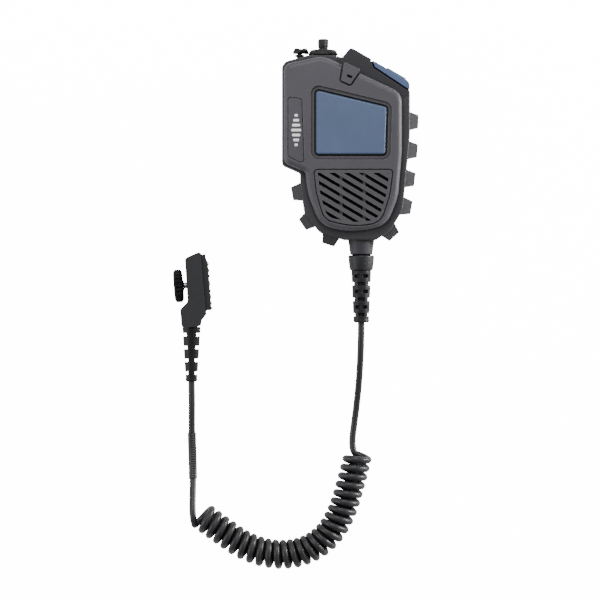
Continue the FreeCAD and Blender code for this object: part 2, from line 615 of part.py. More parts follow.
def ring(label, x, y, low, outer, inner, tall):
    """A plain upright ring."""
    return turned(label, [(inner, 0), (outer, 0), (outer, tall), (inner, tall)], x, y, low)


def make_grille():
    """Slotted grille that drops into the front shell, and the dust cloth behind it."""
    slab_solid = slab("grille_slab", grille_line, "face - grille_thick + 0.3", "face + 0.3")
    field = slab("slot_field", grown("slot_field_line", grille_line, "-slot_edge"), "cavity_top - 1",
                 "face + 2")
    ribs = [box(f"slot_rib_{side}", f"rib_{side}_x - rib_wide / 2", -40, "cavity_top - 2",
                "rib_wide", 60, "face - rib_sink - cavity_top + 2") for side in ("left", "right")]
    slots = []
    for i in range(-5, 6):
        slot = box(f"slot_{i + 6}", 0, 0, 0, 70, "slot_wide", "face_thick + 5")
        step = f"({i} * slot_pitch - slot_wide / 2)"
        across = f"(-35) * cos(slot_turn * 1 deg) - {step} * sin(slot_turn * 1 deg)"
        rise = f"(-35) * sin(slot_turn * 1 deg) + {step} * cos(slot_turn * 1 deg)"
        slots.append(put(slot, f"speaker_x + {across}", f"speaker_y - slot_shift + {rise}",
                         "cavity_top - 2", (0, 0, 1), "slot_turn"))
    openings = shared("slot_openings", cut("slot_field_split", field, ribs),
                      joined("slot_bars", slots))
    node("grille_cover", cut("grille", slab_solid, [openings]))
    cloth = grown("cloth_line", grille_line, "-grille_ledge - 0.1")
    top = "face - grille_thick + 0.3"
    node("grille_cloth", slab("cloth", cloth, f"{top} - cloth_thick", top))


def make_speaker():
    """Loudspeaker: frame, cone, magnet and the foam ring it presses against the shell."""
    ring("speaker_gasket", "speaker_x", "speaker_y", "speaker_top", "speaker_r",
         "speaker_r - speaker_lip", "speaker_gasket")
    turned("speaker_frame", [
        ("magnet_r - 1", 0), ("magnet_r + 1", 0), ("speaker_r - speaker_lip", "speaker_deep"),
        ("speaker_r", "speaker_deep"), ("speaker_r", "speaker_deep + speaker_plate"),
        ("speaker_r - speaker_lip", "speaker_deep + speaker_plate"),
        ("speaker_r - speaker_lip - 1", "speaker_deep"), ("magnet_r - 1", 0.9)],
        "speaker_x", "speaker_y", "speaker_low")
    turned("speaker_cone", [
        (0, 3), (3.5, 2.6), ("speaker_r - speaker_lip - 1.3", "speaker_deep + speaker_plate - 0.9"),
        ("speaker_r - speaker_lip - 0.8", "speaker_deep + speaker_plate - 0.3"), (3.5, 3.2),
        (0, 3.6)], "speaker_x", "speaker_y", "speaker_low")
    turned("speaker_magnet", [(0, 0), ("magnet_r", 0), ("magnet_r", "magnet_deep"),
                              (0, "magnet_deep")],
           "speaker_x", "speaker_y", "speaker_low - magnet_deep")


def make_capsule():
    """Electret capsule in its rubber sleeve under the sound port."""
    low = "cavity_top - capsule_deep"
    turned("mic_capsule", [(0, 0), ("capsule_r", 0), ("capsule_r", "capsule_deep - 0.6"),
                           (0, "capsule_deep - 0.6")], "port_x", "port_y - capsule_drop", low)
    turned("mic_sleeve", [("capsule_r", 0), ("capsule_r + sleeve_wall", 0),
                          ("capsule_r + sleeve_wall", "capsule_deep"), ("capsule_r", "capsule_deep")],
           "port_x", "port_y - capsule_drop", low)


def make_badge():
    """Blank badge plate in its recess."""
    node("side_badge", slab("badge", badge_line, "face - badge_sink", "face - 0.2"))


def make_port_cover():
    """Tongue that covers the sound port, with the port's slot."""
    tongue = slab("port_tongue", port_line, "face - port_sink", "face - 0.1")
    node("port_cover", cut("port_cover_cut", tongue, [port_slot("port_cover_slot")]))


# ---- headset socket and dust cap ---------------------------------------------------------

def make_socket():
    """Threaded socket, its insulating insert and contact pins, and the sealing ring."""
    base = "crown_y - socket_deep"
    turned("headset_socket", [
        ("socket_bore + insert_wall", 0), ("socket_r", 0), ("socket_r", "socket_deep"),
        ("socket_bore + insert_wall", "socket_deep")], "socket_x", base, "middle", "y")
    turned("socket_insert", [
        (0, 0), ("socket_bore + insert_wall", 0), ("socket_bore + insert_wall", "socket_deep - 1"),
        ("socket_bore", "socket_deep - 1"), ("socket_bore", "socket_deep - cap_plug - 3.4"),
        (0, "socket_deep - cap_plug - 3.4")], "socket_x", base, "middle", "y")
    pins = []
    for i in range(4):
        across = f"socket_x + pin_ring * cos({i * 90 + 45} deg)"
        rise = f"middle + pin_ring * sin({i * 90 + 45} deg)"
        pins.append(rod(f"socket_pin_{i + 1}", across, f"{base} - pin_out", rise, "pin_r",
                        "pin_out + 0.6", "y"))
    node("socket_pins", group("socket_pin_set", pins))


def make_cap():
    """Rubber dust cap with its pull knob, pushed into the socket, and its tether's anchor."""
    turned("dust_cap", [
        (0, "-cap_plug"), ("socket_bore - cap_fit - 0.4", "-cap_plug"),
        ("socket_bore - cap_fit", "-cap_plug + 0.6"), ("socket_bore - cap_fit", "cap_seat"),
        ("cap_flange_r", "cap_seat"), ("cap_flange_r", "cap_seat + 1"),
        ("cap_flange_r - cap_slope", "cap_flange"),
        ("cap_neck_r", "cap_flange"), ("cap_neck_r", "cap_flange + 1"),
        ("cap_knob_r", "cap_flange + 1.8"), ("cap_knob_r", "cap_flange + cap_knob - 0.8"),
        ("cap_knob_r - 0.8", "cap_flange + cap_knob"), (0, "cap_flange + cap_knob")],
        "socket_x", "crown_y", "middle", "y")
    turned("tether_anchor", [
        (0, 0), ("anchor_r", 0), ("anchor_r", 2.3), ("anchor_r + 0.9", 2.3), ("anchor_r + 0.9", 3.5),
        (0, 3.5)], "socket_x - 13", "top_left_y + 1.2", "middle", "y")


# ---- cord end of the microphone ----------------------------------------------------------

def boot_profile(root, end, long, groove, rings, shank_r, shank, bore):
    """Ribbed sleeve that narrows towards the cord, with a plain shank behind it."""
    points = [(bore, f"-({shank})"), (shank_r, f"-({shank})"), (shank_r, 0), (root, 0)]
    pitch = f"({long}) / ({rings} + 0.6)"
    for i in range(1, rings + 1):
        radius = f"{root} - ({root} - {end}) * {i} / ({rings} + 0.6)"
        points += [(radius, f"{pitch} * {i} - 1.3"), (f"{radius} - {groove}", f"{pitch} * {i} - 0.9"),
                   (f"{radius} - {groove}", f"{pitch} * {i} + 0.1"), (radius, f"{pitch} * {i} + 0.5")]
    points += [(end, long), (bore, long)]
    return points


def make_gland():
    """Neck, gland nut and ribbed boot at the cord end, and the clamp on the cord inside."""
    bore = "boot_shank_r + boot_fit"
    turned("neck_sleeve", [
        (bore, "-neck_root"), ("neck_r", "-neck_root"), ("neck_r", 0), ("neck_end_r", "neck_long"),
        ("thread_r", "neck_long"), ("thread_r", "neck_long + collar_long - 1.6"),
        (bore, "neck_long + collar_long - 1.6")], "neck_x", "-chin_y", "middle", "y")
    put(NODES["neck_sleeve"], "neck_x", "-chin_y", "middle", (1, 0, 0), 90)
    turned("gland_nut", [
        ("thread_r", "neck_long"), ("neck_end_r + 0.3", "neck_long"), ("collar_r", "neck_long + 0.9"),
        ("collar_end_r", "neck_long + collar_long - 0.8"),
        ("collar_end_r - 0.9", "neck_long + collar_long"), (bore, "neck_long + collar_long"),
        (bore, "neck_long + collar_long - 1.5"), ("thread_r", "neck_long + collar_long - 1.5")],
        "neck_x", "-chin_y", "middle", "y")
    put(NODES["gland_nut"], "neck_x", "-chin_y", "middle", (1, 0, 0), 90)
    turned("cable_boot", boot_profile(
        "boot_r", "boot_end_r", "boot_long", "boot_groove", int(number("boot_rings")),
        "boot_shank_r", "neck_long + collar_long + neck_root + 2", "cord_r"),
        "neck_x", "-chin_y - neck_long - collar_long", "middle", "y")
    put(NODES["cable_boot"], "neck_x", "-chin_y - neck_long - collar_long", "middle", (1, 0, 0), 90)
    block = box("clamp_block", "neck_x - clamp_wide / 2", "gland_ground",
                "middle - clamp_tall / 2", "clamp_wide", "clamp_long", "clamp_tall")
    way = rod("clamp_way", "neck_x", "-chin_y", "middle", "cord_r", 30, "y")
    node("cord_clamp", cut("clamp", block, [way]))
    low = "-chin_y - neck_long - collar_long - boot_long"
    node("cord_inner_end", rod("cord_inner", "neck_x", low, "middle", "cord_r",
                               f"cord_end_y - ({low})", "y"))


# ---- cord --------------------------------------------------------------------------------

MIC_LEAD = [(6.2, -78.8, 22.7), (6.1, -88.6, 22.3), (5.7, -100.4, 18.9), (5.1, -112.2, 12.6),
            (4.0, -124.0, 6.6), (2.6, -135.4, 3.1), (1.3, -145.4, 2.3), (1.6, -154.2, 3.6)]
COIL = [(4.8, -152.2, 8.5), (0.6, -168.5, 8.5), (-4.6, -186.0, 8.5), (-13.5, -199.6, 8.5),
        (-27.0, -207.2, 8.5), (-43.0, -208.2, 8.5), (-58.0, -203.6, 8.5), (-70.5, -195.0, 8.5),
        (-82.4, -186.2, 8.5)]
PLUG_LEAD = [(-85.3, -191.3, 9.4), (-86.9, -187.0, 11.4), (-87.4, -180.0, 9.4),
             (-87.2, -170.6, 4.8), (-87.3, -159.0, 2.6), (-87.8, -147.0, 2.7),
             (-87.9, -135.0, 4.6), (-87.7, -123.0, 8.2), (-87.9, -112.0, 9.4)]


def spine(points):
    """Straight runs joined by tangent arcs, with the radii of the arcs."""
    spots = [Vector(*point) for point in points]
    edges = []
    radii = []
    start = spots[0]
    for before, here, after in zip(spots, spots[1:], spots[2:]):
        back, ahead = before - here, after - here
        reach = 0.45 * min(back.Length, ahead.Length)
        half_turn = (math.pi - back.getAngle(ahead)) / 2
        radius = reach / math.tan(half_turn)
        first = here + Vector(back).normalize() * reach
        last = here + Vector(ahead).normalize() * reach
        inward = (Vector(back).normalize() + Vector(ahead).normalize()).normalize()
        middle_point = here + inward * (radius / math.cos(half_turn) - radius)
        edges += [Part.LineSegment(start, first), Part.Arc(first, middle_point, last)]
        radii.append(radius)
        start = last
    edges.append(Part.LineSegment(start, spots[-1]))
    return Part.Wire([edge.toShape() for edge in edges]), radii


def tube(label, points, radius):
    """A round tube along a spine, its volume checked against section times length."""
    path, radii = spine(points)
    first = path.Edges[0]
    section = Part.Wire([Part.Circle(first.valueAt(first.FirstParameter), first.tangentAt(
        first.FirstParameter), radius).toShape()])
    solid = path.makePipeShell([section], True, False)
    wanted = math.pi * radius ** 2 * path.Length
    print(f"{label}: length {path.Length:.1f}, volume {solid.Volume:.0f} of {wanted:.0f}, radii",
          " ".join(f"{value:.0f}" for value in radii))
    feature = doc.addObject("Part::Feature", label + "_tube")
    feature.Shape = solid
    feature.Placement = Placement()
    return node(label, feature), path


def make_cord():
    """The two straight ends of the cord, its coiled stretch, and the label sleeve."""
    tube("cord_mic_lead", MIC_LEAD, number("cord_r"))
    tube("cord_coil", COIL, number("coil_r"))
    lead, path = tube("cord_plug_lead", PLUG_LEAD, number("cord_r"))
    stretch = Part.Wire(path.Edges[6:11])
    start = stretch.Edges[0]
    ring_line = Part.Circle(start.valueAt(start.FirstParameter),
                            start.tangentAt(start.FirstParameter), number("sleeve_r")).toShape()
    sleeve = doc.addObject("Part::Feature", "label_sleeve_tube")
    sleeve.Shape = stretch.makePipeShell([Part.Wire([ring_line])], True, False).cut(lead.Shape)
    sleeve.Placement = Placement()
    node("label_sleeve", sleeve)


# ---- rear clip ---------------------------------------------------------------------------

def make_clip_plate():
    """Swivel plate of the rear clip, a disc with a tongue that carries the hinge ears."""
    disc = rod("plate_disc", "clip_x", "clip_y", "plate_low", "clip_plate_r", "clip_plate")
    tongue = box("plate_tongue", "clip_x - clip_wide / 2", "clip_y", "plate_low", "clip_wide",
                 "hinge_y - clip_y", "clip_plate")
    ears = []
    for side, x in (("left", "clip_x - clip_wide / 2"), ("right", "clip_x + clip_wide / 2 - ear_wide")):
        ears.append(rod(f"ear_{side}", x, "hinge_y", "hinge_z", "ear_r", "ear_wide", "x"))
        ears.append(box(f"ear_web_{side}", x, "hinge_y - ear_r", "hinge_z", "ear_wide", "2 * ear_r",
                        "clip_deep - hinge_z"))
    tools = [rod("plate_axle_way", "clip_x", "clip_y", "plate_low - 1", "axle_r + axle_fit",
                 "clip_plate + 2"),
             rod("plate_head_way", "clip_x", "clip_y", "plate_low - 1", "axle_head_r + 0.2",
                 "axle_head + washer + 1.1"),
             rod("plate_pin_way", "clip_x - clip_wide", "hinge_y", "hinge_z", "hinge_pin_r",
                 "2 * clip_wide", "x")]
    node("clip_plate", cut("plate", joined("plate_solid", [disc, tongue] + ears), tools))


def make_clip_axle():
    """Shoulder screw and spring washer that let the clip turn, in a brass bush."""
    turned("clip_axle", [
        (0, 0), ("axle_head_r", 0), ("axle_head_r", "axle_head"), ("axle_r", "axle_head"),
        ("axle_r", "clip_deep - plate_low + clip_gap + bush_deep - 1"),
        (0, "clip_deep - plate_low + clip_gap + bush_deep - 1")], "clip_x", "clip_y", "plate_low")
    ring("clip_washer", "clip_x", "clip_y", "plate_low + axle_head", "axle_head_r",
         "axle_r + axle_fit", "washer")
    ring("swivel_bush", "clip_x", "clip_y", "rear_low", "bush_r", "axle_r", "bush_deep")


def make_clip_jaw():
    """Sprung jaw with its thumb tab, hinge lugs and turned-in tip, and the grip pad."""
    body = outline("jaw_line", [
        ("clip_x - clip_wide / 2", "hinge_y + jaw_tab", 4),
        ("clip_x + clip_wide / 2", "hinge_y + jaw_tab", 4),
        ("clip_x + clip_wide / 2", "jaw_low_y", 5),
        ("clip_x - clip_wide / 2", "jaw_low_y", 5)])
    flat = slab("jaw_flat", body, 0, "jaw_thick")
    lugs = []
    inside = "ear_wide + ear_fit"
    for side, x in (("left", f"clip_x - clip_wide / 2 + {inside}"),
                    ("right", f"clip_x + clip_wide / 2 - {inside} - ear_wide")):
        lugs.append(rod(f"lug_{side}", x, "hinge_y", "hinge_z", "ear_r - 0.6", "ear_wide", "x"))
        lugs.append(box(f"lug_web_{side}", x, "hinge_y - ear_r + 0.6", "jaw_thick - 1", "ear_wide",
                        "2 * ear_r - 1.2", "hinge_z - jaw_thick + 1"))
    tools = [rod("lug_way", "clip_x - clip_wide", "hinge_y", "hinge_z", "hinge_pin_r + hinge_fit",
                 "2 * clip_wide", "x"),
             rod("ear_room_left", "clip_x - clip_wide / 2 - 1", "hinge_y", "hinge_z", "ear_r + 0.4",
                 "ear_wide + ear_fit + 1", "x"),
             rod("ear_room_right", "clip_x + clip_wide / 2 - ear_wide - ear_fit", "hinge_y", "hinge_z",
                 "ear_r + 0.4", "ear_wide + ear_fit + 1", "x")]
    node("clip_jaw", cut("jaw", joined("jaw_solid", [flat] + lugs), tools))
    node("clip_grip_pad", box("grip_pad", "clip_x - clip_wide / 2 + 4", "jaw_low_y + 3", "jaw_thick",
                              "clip_wide - 8", "pad_long", "pad_thick"))


def make_clip_hinge():
    """Hinge pin and the torsion spring round it."""
    node("clip_hinge_pin", rod("hinge_pin", "clip_x - clip_wide / 2 + 0.2", "hinge_y", "hinge_z",
                               "hinge_pin_r", "clip_wide - 0.4", "x"))
    coil = cut("spring_coil", rod("spring_out", "clip_x - spring_long / 2", "hinge_y", "hinge_z",
                                  "spring_coil_r", "spring_long", "x"),
               [rod("spring_in", "clip_x - spring_long / 2 - 1", "hinge_y", "hinge_z",
                    "spring_coil_r - spring_wire", "spring_long + 2", "x")])
    leg = box("spring_leg_low", "clip_x - spring_long / 2", "hinge_y - spring_leg",
              "hinge_z - spring_coil_r + 0.1", "spring_wire", "spring_leg", "spring_wire - 0.2")
    node("clip_spring", joined("spring", [coil, leg]))


# ---- connector on the far end ------------------------------------------------------------

def plug_place(thing, x, y, z):
    """Tie a piece's place to the connector's own axes, which lean from its heel."""
    lean = "plug_lean * 1 deg"
    bind(thing, "Placement.Base.x", f"plug_x + ({x}) * cos({lean}) - ({y}) * sin({lean})")
    bind(thing, "Placement.Base.y", f"heel_y + ({x}) * sin({lean}) + ({y}) * cos({lean})")
    bind(thing, "Placement.Base.z", f"plug_z + ({z})")


def plug_slab(name, corners, low, high):
    """A solid of the connector from its outline, between two depths."""
    solid = slab(name, outline(name + "_line", corners), 0, f"({high}) - ({low})")
    put(solid, 0, 0, 0, (0, 0, 1), "plug_lean")
    plug_place(solid, 0, 0, low)
    return solid


def across_plug(solid, x, y, z):
    """Lay a piece made along +Z across the connector, from its back to its contact face."""
    lying = Rotation(Vector(0, 0, 1), number("plug_lean")).multiply(Rotation(Vector(0, 1, 0), 90))
    solid.Placement = Placement(Vector(), lying)
    plug_place(solid, x, y, z)
    return solid


def plug_rod(name, x, y, z, radius, length):
    """A cylinder across the connector."""
    solid = doc.addObject("Part::Cylinder", name)
    bind(solid, "Radius", radius)
    bind(solid, "Height", length)
    return across_plug(solid, x, y, z)


def plug_corners(inset):
    """Outline of the connector body, from its heel at the boot to its top."""
    s = f"({inset})"
    return [(f"-plug_heel_wide / 2 + {s}", f"{s}", 1.5),
            (f"plug_heel_wide / 2 - {s}", f"{s}", 1.5),
            (f"plug_heel_wide / 2 + 0.3 - {s}", f"2.8 + {s} / 2", 1),
            (f"plug_seam + 0.3 - {s}", f"6.4 + {s} / 2", 1),
            (f"plug_seam - {s}", f"plug_body_long - {s}", 1.2),
            (f"-plug_back + 0.3 + {s}", f"plug_body_long - 3.2 - {s}", 2.2),
            (f"-plug_back + {s}", f"plug_heel + 3.8", 2.5),
            (f"-plug_heel_wide / 2 + {s}", f"plug_heel", 1.8)]


def block_corners(left, right, taper):
    """Outline of the contact block, narrower at its top, between two places across."""
    low, high = "block_low + block_fit", "block_low + block_tall - block_fit"
    return [(left, low, 0), (right, low, 0), (right, f"{high} - 6 * ({taper})", 0),
            (f"({right}) - ({taper})", high, 0), (left, high, 0)]


def make_plug():
    """Connector: hollow body, contact block with its contacts, and the seal behind it."""
    half = "plug_deep / 2"
    outer = plug_slab("plug_outer", plug_corners(0), f"-{half}", half)
    inner = plug_slab("plug_inner", plug_corners("plug_wall"), f"plug_wall - {half}",
                      f"{half} - plug_wall")
    seat = plug_slab("block_seat", [
        ("block_back", "block_low", 0), ("block_face + 2", "block_low", 0),
        ("block_face + 2", "block_low + block_tall", 0), ("block_back", "block_low + block_tall", 0)],
        "-block_deep / 2", "block_deep / 2")
    way = plug_rod("plug_thumb_way", -10, "thumb_y", 0, "thumb_r + thumb_fit", 30)
    throat = rod("plug_throat_way", "plug_x", "heel_y - 1", "plug_z", "plug_throat_r",
                 "plug_throat + 1", "y")
    node("plug_body", cut("plug", outer, [inner, seat, way, throat]))
    low, high = "block_fit - block_deep / 2", "block_deep / 2 - block_fit"
    block = plug_slab("block_raw", block_corners("plug_seam - block_sunk", "block_face", "block_taper"),
                     low, high)
    places = [(f"thumb_y + ({row}) * contact_pitch", f"({side}) * contact_row / 2")
              for row in (-3, -2, 2, 3) for side in (-1, 1)]
    wells = [plug_rod(f"contact_well_{i}", "block_face - 2", y, z, "contact_r", 3)
             for i, (y, z) in enumerate(places, 1)]
    block_way = plug_rod("block_thumb_way", 0, "thumb_y", 0, "thumb_r + thumb_fit", 30)
    node("plug_contact_block", cut("block", block, [block_way] + wells))
    contacts = [plug_rod(f"contact_{i}", "block_face - 2", y, z, "contact_r", "2 + contact_out")
                for i, (y, z) in enumerate(places, 1)]
    node("plug_contacts", group("contact_set", contacts))
    gasket = plug_slab("plug_seal_flat", [
        ("block_back", "block_low + block_fit", 0), ("plug_seam - block_sunk", "block_low + block_fit", 0),
        ("plug_seam - block_sunk", "block_low + block_tall - block_fit", 0),
        ("block_back", "block_low + block_tall - block_fit", 0)], low, high)
    gasket_way = plug_rod("seal_thumb_way", 0, "thumb_y", 0, "thumb_r + thumb_fit", 30)
    node("plug_seal", cut("seal", gasket, [gasket_way]))


def make_thumb_screw():
    """Captive thumb screw: threaded shank, knob and the clip that keeps it in the body."""
    reach = "block_face - (knob_back) + thumb_out"
    turned("thumb_screw", [(0, 0), ("thumb_r", 0), ("thumb_r", f"{reach} - 0.5"),
                           ("thumb_r - 0.5", reach), (0, reach)], 0, 0, 0)
    across_plug(NODES["thumb_screw"], "knob_back", "thumb_y", 0)
    turned("thumb_knob", [
        ("thumb_r", 0), ("knob_r - 0.8", 0), ("knob_r", 0.8), ("knob_r", "knob_thick - 0.8"),
        ("knob_r - 0.8", "knob_thick"), ("thumb_r + 1.4", "knob_thick"),
        ("thumb_r + 1.4", "knob_thick + 0.6"), ("thumb_r", "knob_thick + 0.6")], 0, 0, 0)
    across_plug(NODES["thumb_knob"], "knob_back", "thumb_y", 0)
    turned("thumb_circlip", [
        ("thumb_r", 0), ("circlip_r", 0), ("circlip_r", "circlip"), ("thumb_r", "circlip")], 0, 0, 0)
    across_plug(NODES["thumb_circlip"], "plug_wall - plug_back + circlip_in", "thumb_y", 0)


def make_plug_boot():
    """Ribbed boot of the connector, which narrows towards the cord."""
    turned("plug_boot", boot_profile(
        "plug_boot_r", "plug_boot_end_r", "plug_boot_long", "boot_groove", 5, "plug_throat_r",
        "plug_throat", "cord_r"), 0, 0, 0)
    put(NODES["plug_boot"], "plug_x", "heel_y", "plug_z", (1, 0, 0), 90)


def make_tether():
    """Thin rubber tether, looped once on its way from the dust cap to its anchor."""
    x, top, z = number("socket_x"), number("crown_y"), number("middle")
    start = x - number("cap_flange_r") - 0.6
    points = [(start, top + 1.4, z), (start - 2.6, top + 3.4, z + 3.3),
              (start - 7, top + 2.6, z + 3.9), (start - 8.2, top + 1, z - 0.9),
              (start - 5.6, top + 2.4, z - 4.5), (start - 2, top + 3, z - 2.3),
              (start - 4.4, top + 3.4, z + 0.5), (x - 13, top + 0.7, z)]
    tube("cap_tether", points, number("tether_r"))


for make in (make_front_shell, make_rear_shell, make_case_seal, make_armour, make_case_fasteners,
             make_ptt, make_top_key, make_board, make_grille, make_speaker, make_capsule,
             make_badge, make_port_cover, make_socket, make_cap, make_gland, make_cord, make_tether,
             make_clip_plate, make_clip_axle, make_clip_jaw, make_clip_hinge, make_plug,
             make_thumb_screw, make_plug_boot):
    make()
doc.recompute()

failed = [item.Label for item in doc.Objects
          if any(mark in item.State for mark in ("Invalid", "Error"))]
if failed:
    raise RuntimeError("not computed: " + ", ".join(failed))
for label, thing in NODES.items():
    if thing.Shape.isNull() or not thing.Shape.isValid():
        raise RuntimeError("bad shape: " + label)

os.makedirs("parts", exist_ok=True)
for label, thing in NODES.items():
    thing.Shape.exportStep(f"parts/{label}.step")
print(len(NODES), "nodes")
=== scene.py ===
import json
import math

import bmesh
import bpy
from mathutils import Matrix, Vector


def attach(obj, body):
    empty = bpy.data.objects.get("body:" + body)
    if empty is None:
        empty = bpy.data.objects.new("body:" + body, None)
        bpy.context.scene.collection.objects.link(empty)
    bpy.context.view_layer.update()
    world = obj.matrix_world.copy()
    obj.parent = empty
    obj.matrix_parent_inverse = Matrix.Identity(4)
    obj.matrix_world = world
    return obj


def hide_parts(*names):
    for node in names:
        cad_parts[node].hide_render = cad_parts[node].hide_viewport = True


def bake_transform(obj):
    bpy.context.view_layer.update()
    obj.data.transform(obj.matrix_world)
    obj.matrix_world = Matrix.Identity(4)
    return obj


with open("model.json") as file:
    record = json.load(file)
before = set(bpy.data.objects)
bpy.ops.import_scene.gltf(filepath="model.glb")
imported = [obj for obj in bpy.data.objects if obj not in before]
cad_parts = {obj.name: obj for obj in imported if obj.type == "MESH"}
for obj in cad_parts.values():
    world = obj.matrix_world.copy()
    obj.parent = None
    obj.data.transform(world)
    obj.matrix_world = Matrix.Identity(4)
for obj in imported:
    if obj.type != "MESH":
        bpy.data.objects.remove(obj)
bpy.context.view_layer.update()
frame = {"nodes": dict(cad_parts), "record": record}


# ---- camera ------------------------------------------------------------------------------
# The microphone lies face up, and the camera looks straight down on it from two metres,
# with +Y upwards in the view, centred between the body and the connector.

VIEW_CENTRE = (-0.0276, -0.0664)
VIEW_WIDTH = 0.330
FACE_HEIGHT = 0.030
CAMERA_RISE = 2.0
SENSOR = 36.0

camera_data = bpy.data.cameras.new("camera")
camera_data.sensor_width = SENSOR
camera_data.lens = SENSOR * CAMERA_RISE / VIEW_WIDTH
camera_data.clip_start = 0.05
camera_data.clip_end = 20.0
camera = bpy.data.objects.new("camera", camera_data)
camera.location = (*VIEW_CENTRE, FACE_HEIGHT + CAMERA_RISE)
bpy.context.scene.collection.objects.link(camera)
bpy.context.scene.camera = camera


# ---- curly cord --------------------------------------------------------------------------
# One length of jacketed cable: a plain end at the microphone, a stretch that is wound into a
# tight curl, and a plain end at the connector. The curl is heat-set, so its turns stay even.
# It is a single curve with a round section.

CORD_R = 0.0019
CURL_R = 0.0065
CURL_TURNS = 26
POINTS_PER_TURN = 16
CURL_START_ANGLE = -115
CURL_END_ANGLE = 8
CURL_SPREAD = 0.0085
CURL_SNUG = 0.05
CURL_SNUG_FADE = 30

MIC_LEAD = [(6.2, -74.0, 22.7), (6.2, -78.8, 22.7), (6.1, -88.6, 22.3), (5.7, -100.4, 18.9),
            (5.1, -112.2, 12.6), (4.0, -124.0, 6.6), (2.6, -135.4, 3.1), (1.3, -145.4, 2.3)]
CURL_LINE = [(4.8, -152.2, 8.5), (0.6, -168.5, 8.5), (-4.6, -186.0, 8.5), (-13.5, -199.6, 8.5),
             (-27.0, -207.2, 8.5), (-43.0, -208.2, 8.5), (-58.0, -203.6, 8.5),
             (-70.5, -195.0, 8.5), (-82.4, -186.2, 8.5)]
PLUG_LEAD = [(-87.1, -186.4, 12.0), (-87.4, -180.0, 9.4), (-87.2, -170.6, 4.8),
             (-87.3, -159.0, 2.6), (-87.8, -147.0, 2.7), (-87.9, -135.0, 4.6),
             (-87.7, -123.0, 8.2), (-87.9, -112.0, 9.4), (-87.9, -106.0, 9.4)]


def metres(points):
    """Route points from millimetres."""
    return [Vector(point) / 1000 for point in points]


def link(name, data):
    """A new object for some data, at the origin."""
    piece = bpy.data.objects.new(name, data)
    bpy.context.scene.collection.objects.link(piece)
    return piece


def cord_curve(name, points, radius):
    """A smooth open cable through control points."""
    curve = bpy.data.curves.new(name, "CURVE")
    curve.dimensions = "3D"
    curve.bevel_depth = radius
    curve.bevel_resolution = 5
    curve.resolution_u = 3
    curve.use_fill_caps = True
    spline = curve.splines.new("NURBS")
    spline.points.add(len(points) - 1)
    for spot, point in zip(spline.points, points):
        spot.co = (*point, 1)
    spline.order_u = 3
    spline.use_endpoint_u = True
    return link(name, curve)


def read_line(points, resolution=24):
    """Evenly read points along the smooth line through a route."""
    guide = cord_curve("guide", points, 0)
    guide.data.use_fill_caps = False
    guide.data.resolution_u = resolution
    bpy.context.view_layer.update()
    mesh = bpy.data.meshes.new_from_object(guide)
    line = [vertex.co.copy() for vertex in mesh.vertices]
    bpy.data.objects.remove(guide)
    bpy.data.meshes.remove(mesh)
    return line


def along(line, share):
    """The point and the direction at a share of a line's length."""
    lengths = [0.0]
    for first, second in zip(line, line[1:]):
        lengths.append(lengths[-1] + (second - first).length)
    wanted = share * lengths[-1]
    index = 0
    while index < len(line) - 2 and lengths[index + 1] < wanted:
        index += 1
    step = lengths[index + 1] - lengths[index]
    part = (wanted - lengths[index]) / step
    return line[index].lerp(line[index + 1], part), (line[index + 1] - line[index]).normalized()


def helix(line, start_angle, end_angle, turns):
    """Right-handed turns round a level line, drawn a little tighter at its start."""
    points = []
    sweep = turns * 360 + (end_angle - start_angle)
    count = round(sweep / 360 * POINTS_PER_TURN)
    up = Vector((0, 0, 1))
    for i in range(count + 1):
        share = i / count
        wave = math.sin(2 * math.pi * share) * (1 - 2 * abs(share - 0.5))
        eased = share + CURL_SPREAD * wave
        spot, ahead = along(line, eased)
        side = up.cross(ahead).normalized()
        angle = math.radians(start_angle + sweep * share)
        loose = 1 - CURL_SNUG * math.exp(-share * CURL_SNUG_FADE)
        offset = side * math.cos(angle) + up * math.sin(angle)
        points.append(spot + offset * CURL_R * loose)
    return points


curl_line = read_line(metres(CURL_LINE))
cord_points = metres(MIC_LEAD) + helix(curl_line, CURL_START_ANGLE, CURL_END_ANGLE, CURL_TURNS)
cord_points += metres(PLUG_LEAD)
cord = cord_curve("curly_cord", cord_points, CORD_R)
cord_run = read_line(cord_points, 6)


# ---- surface effects that several finishes share -------------------------------------------
# Moulded plastic and rubber have a fine grain from the mould and a faint unevenness in colour.
# Their broken edges are painted lighter and made smoother, partly as rubbing wear and partly as
# a painted highlight, and narrow gaps get painted shade. One node group makes them all and each
# finish gives it its own values.

def noise(tree, vector, scale, detail, roughness=0.55):
    node = tree.nodes.new("ShaderNodeTexNoise")
    node.inputs["Scale"].default_value = scale
    node.inputs["Detail"].default_value = detail
    node.inputs["Roughness"].default_value = roughness
    tree.links.new(vector, node.inputs["Vector"])
    return node


def ramp(tree, value, low, high):
    """Stretch a value between two levels to the range from 0 to 1."""
    node = tree.nodes.new("ShaderNodeMapRange")
    node.inputs["From Min"].default_value = low
    node.inputs["From Max"].default_value = high
    tree.links.new(value, node.inputs["Value"])
    return node.outputs["Result"]


def maths(tree, operation, first, second=None):
    node = tree.nodes.new("ShaderNodeMath")
    node.operation = operation
    for socket, value in zip(node.inputs, (first, second)):
        if value is None:
            continue
        if isinstance(value, (int, float)):
            socket.default_value = value
        else:
            tree.links.new(value, socket)
    return node.outputs["Value"]


def blend_colour(tree, factor, first, second):
    """Mix two colours, each a socket or a plain colour."""
    node = tree.nodes.new("ShaderNodeMix")
    node.data_type = "RGBA"
    tree.links.new(factor, node.inputs["Factor"])
    for name, value in (("A", first), ("B", second)):
        socket = next(item for item in node.inputs if item.name == name and item.type == "RGBA")
        if isinstance(value, tuple):
            socket.default_value = (*value, 1)
        else:
            tree.links.new(value, socket)
    return next(item for item in node.outputs if item.type == "RGBA")


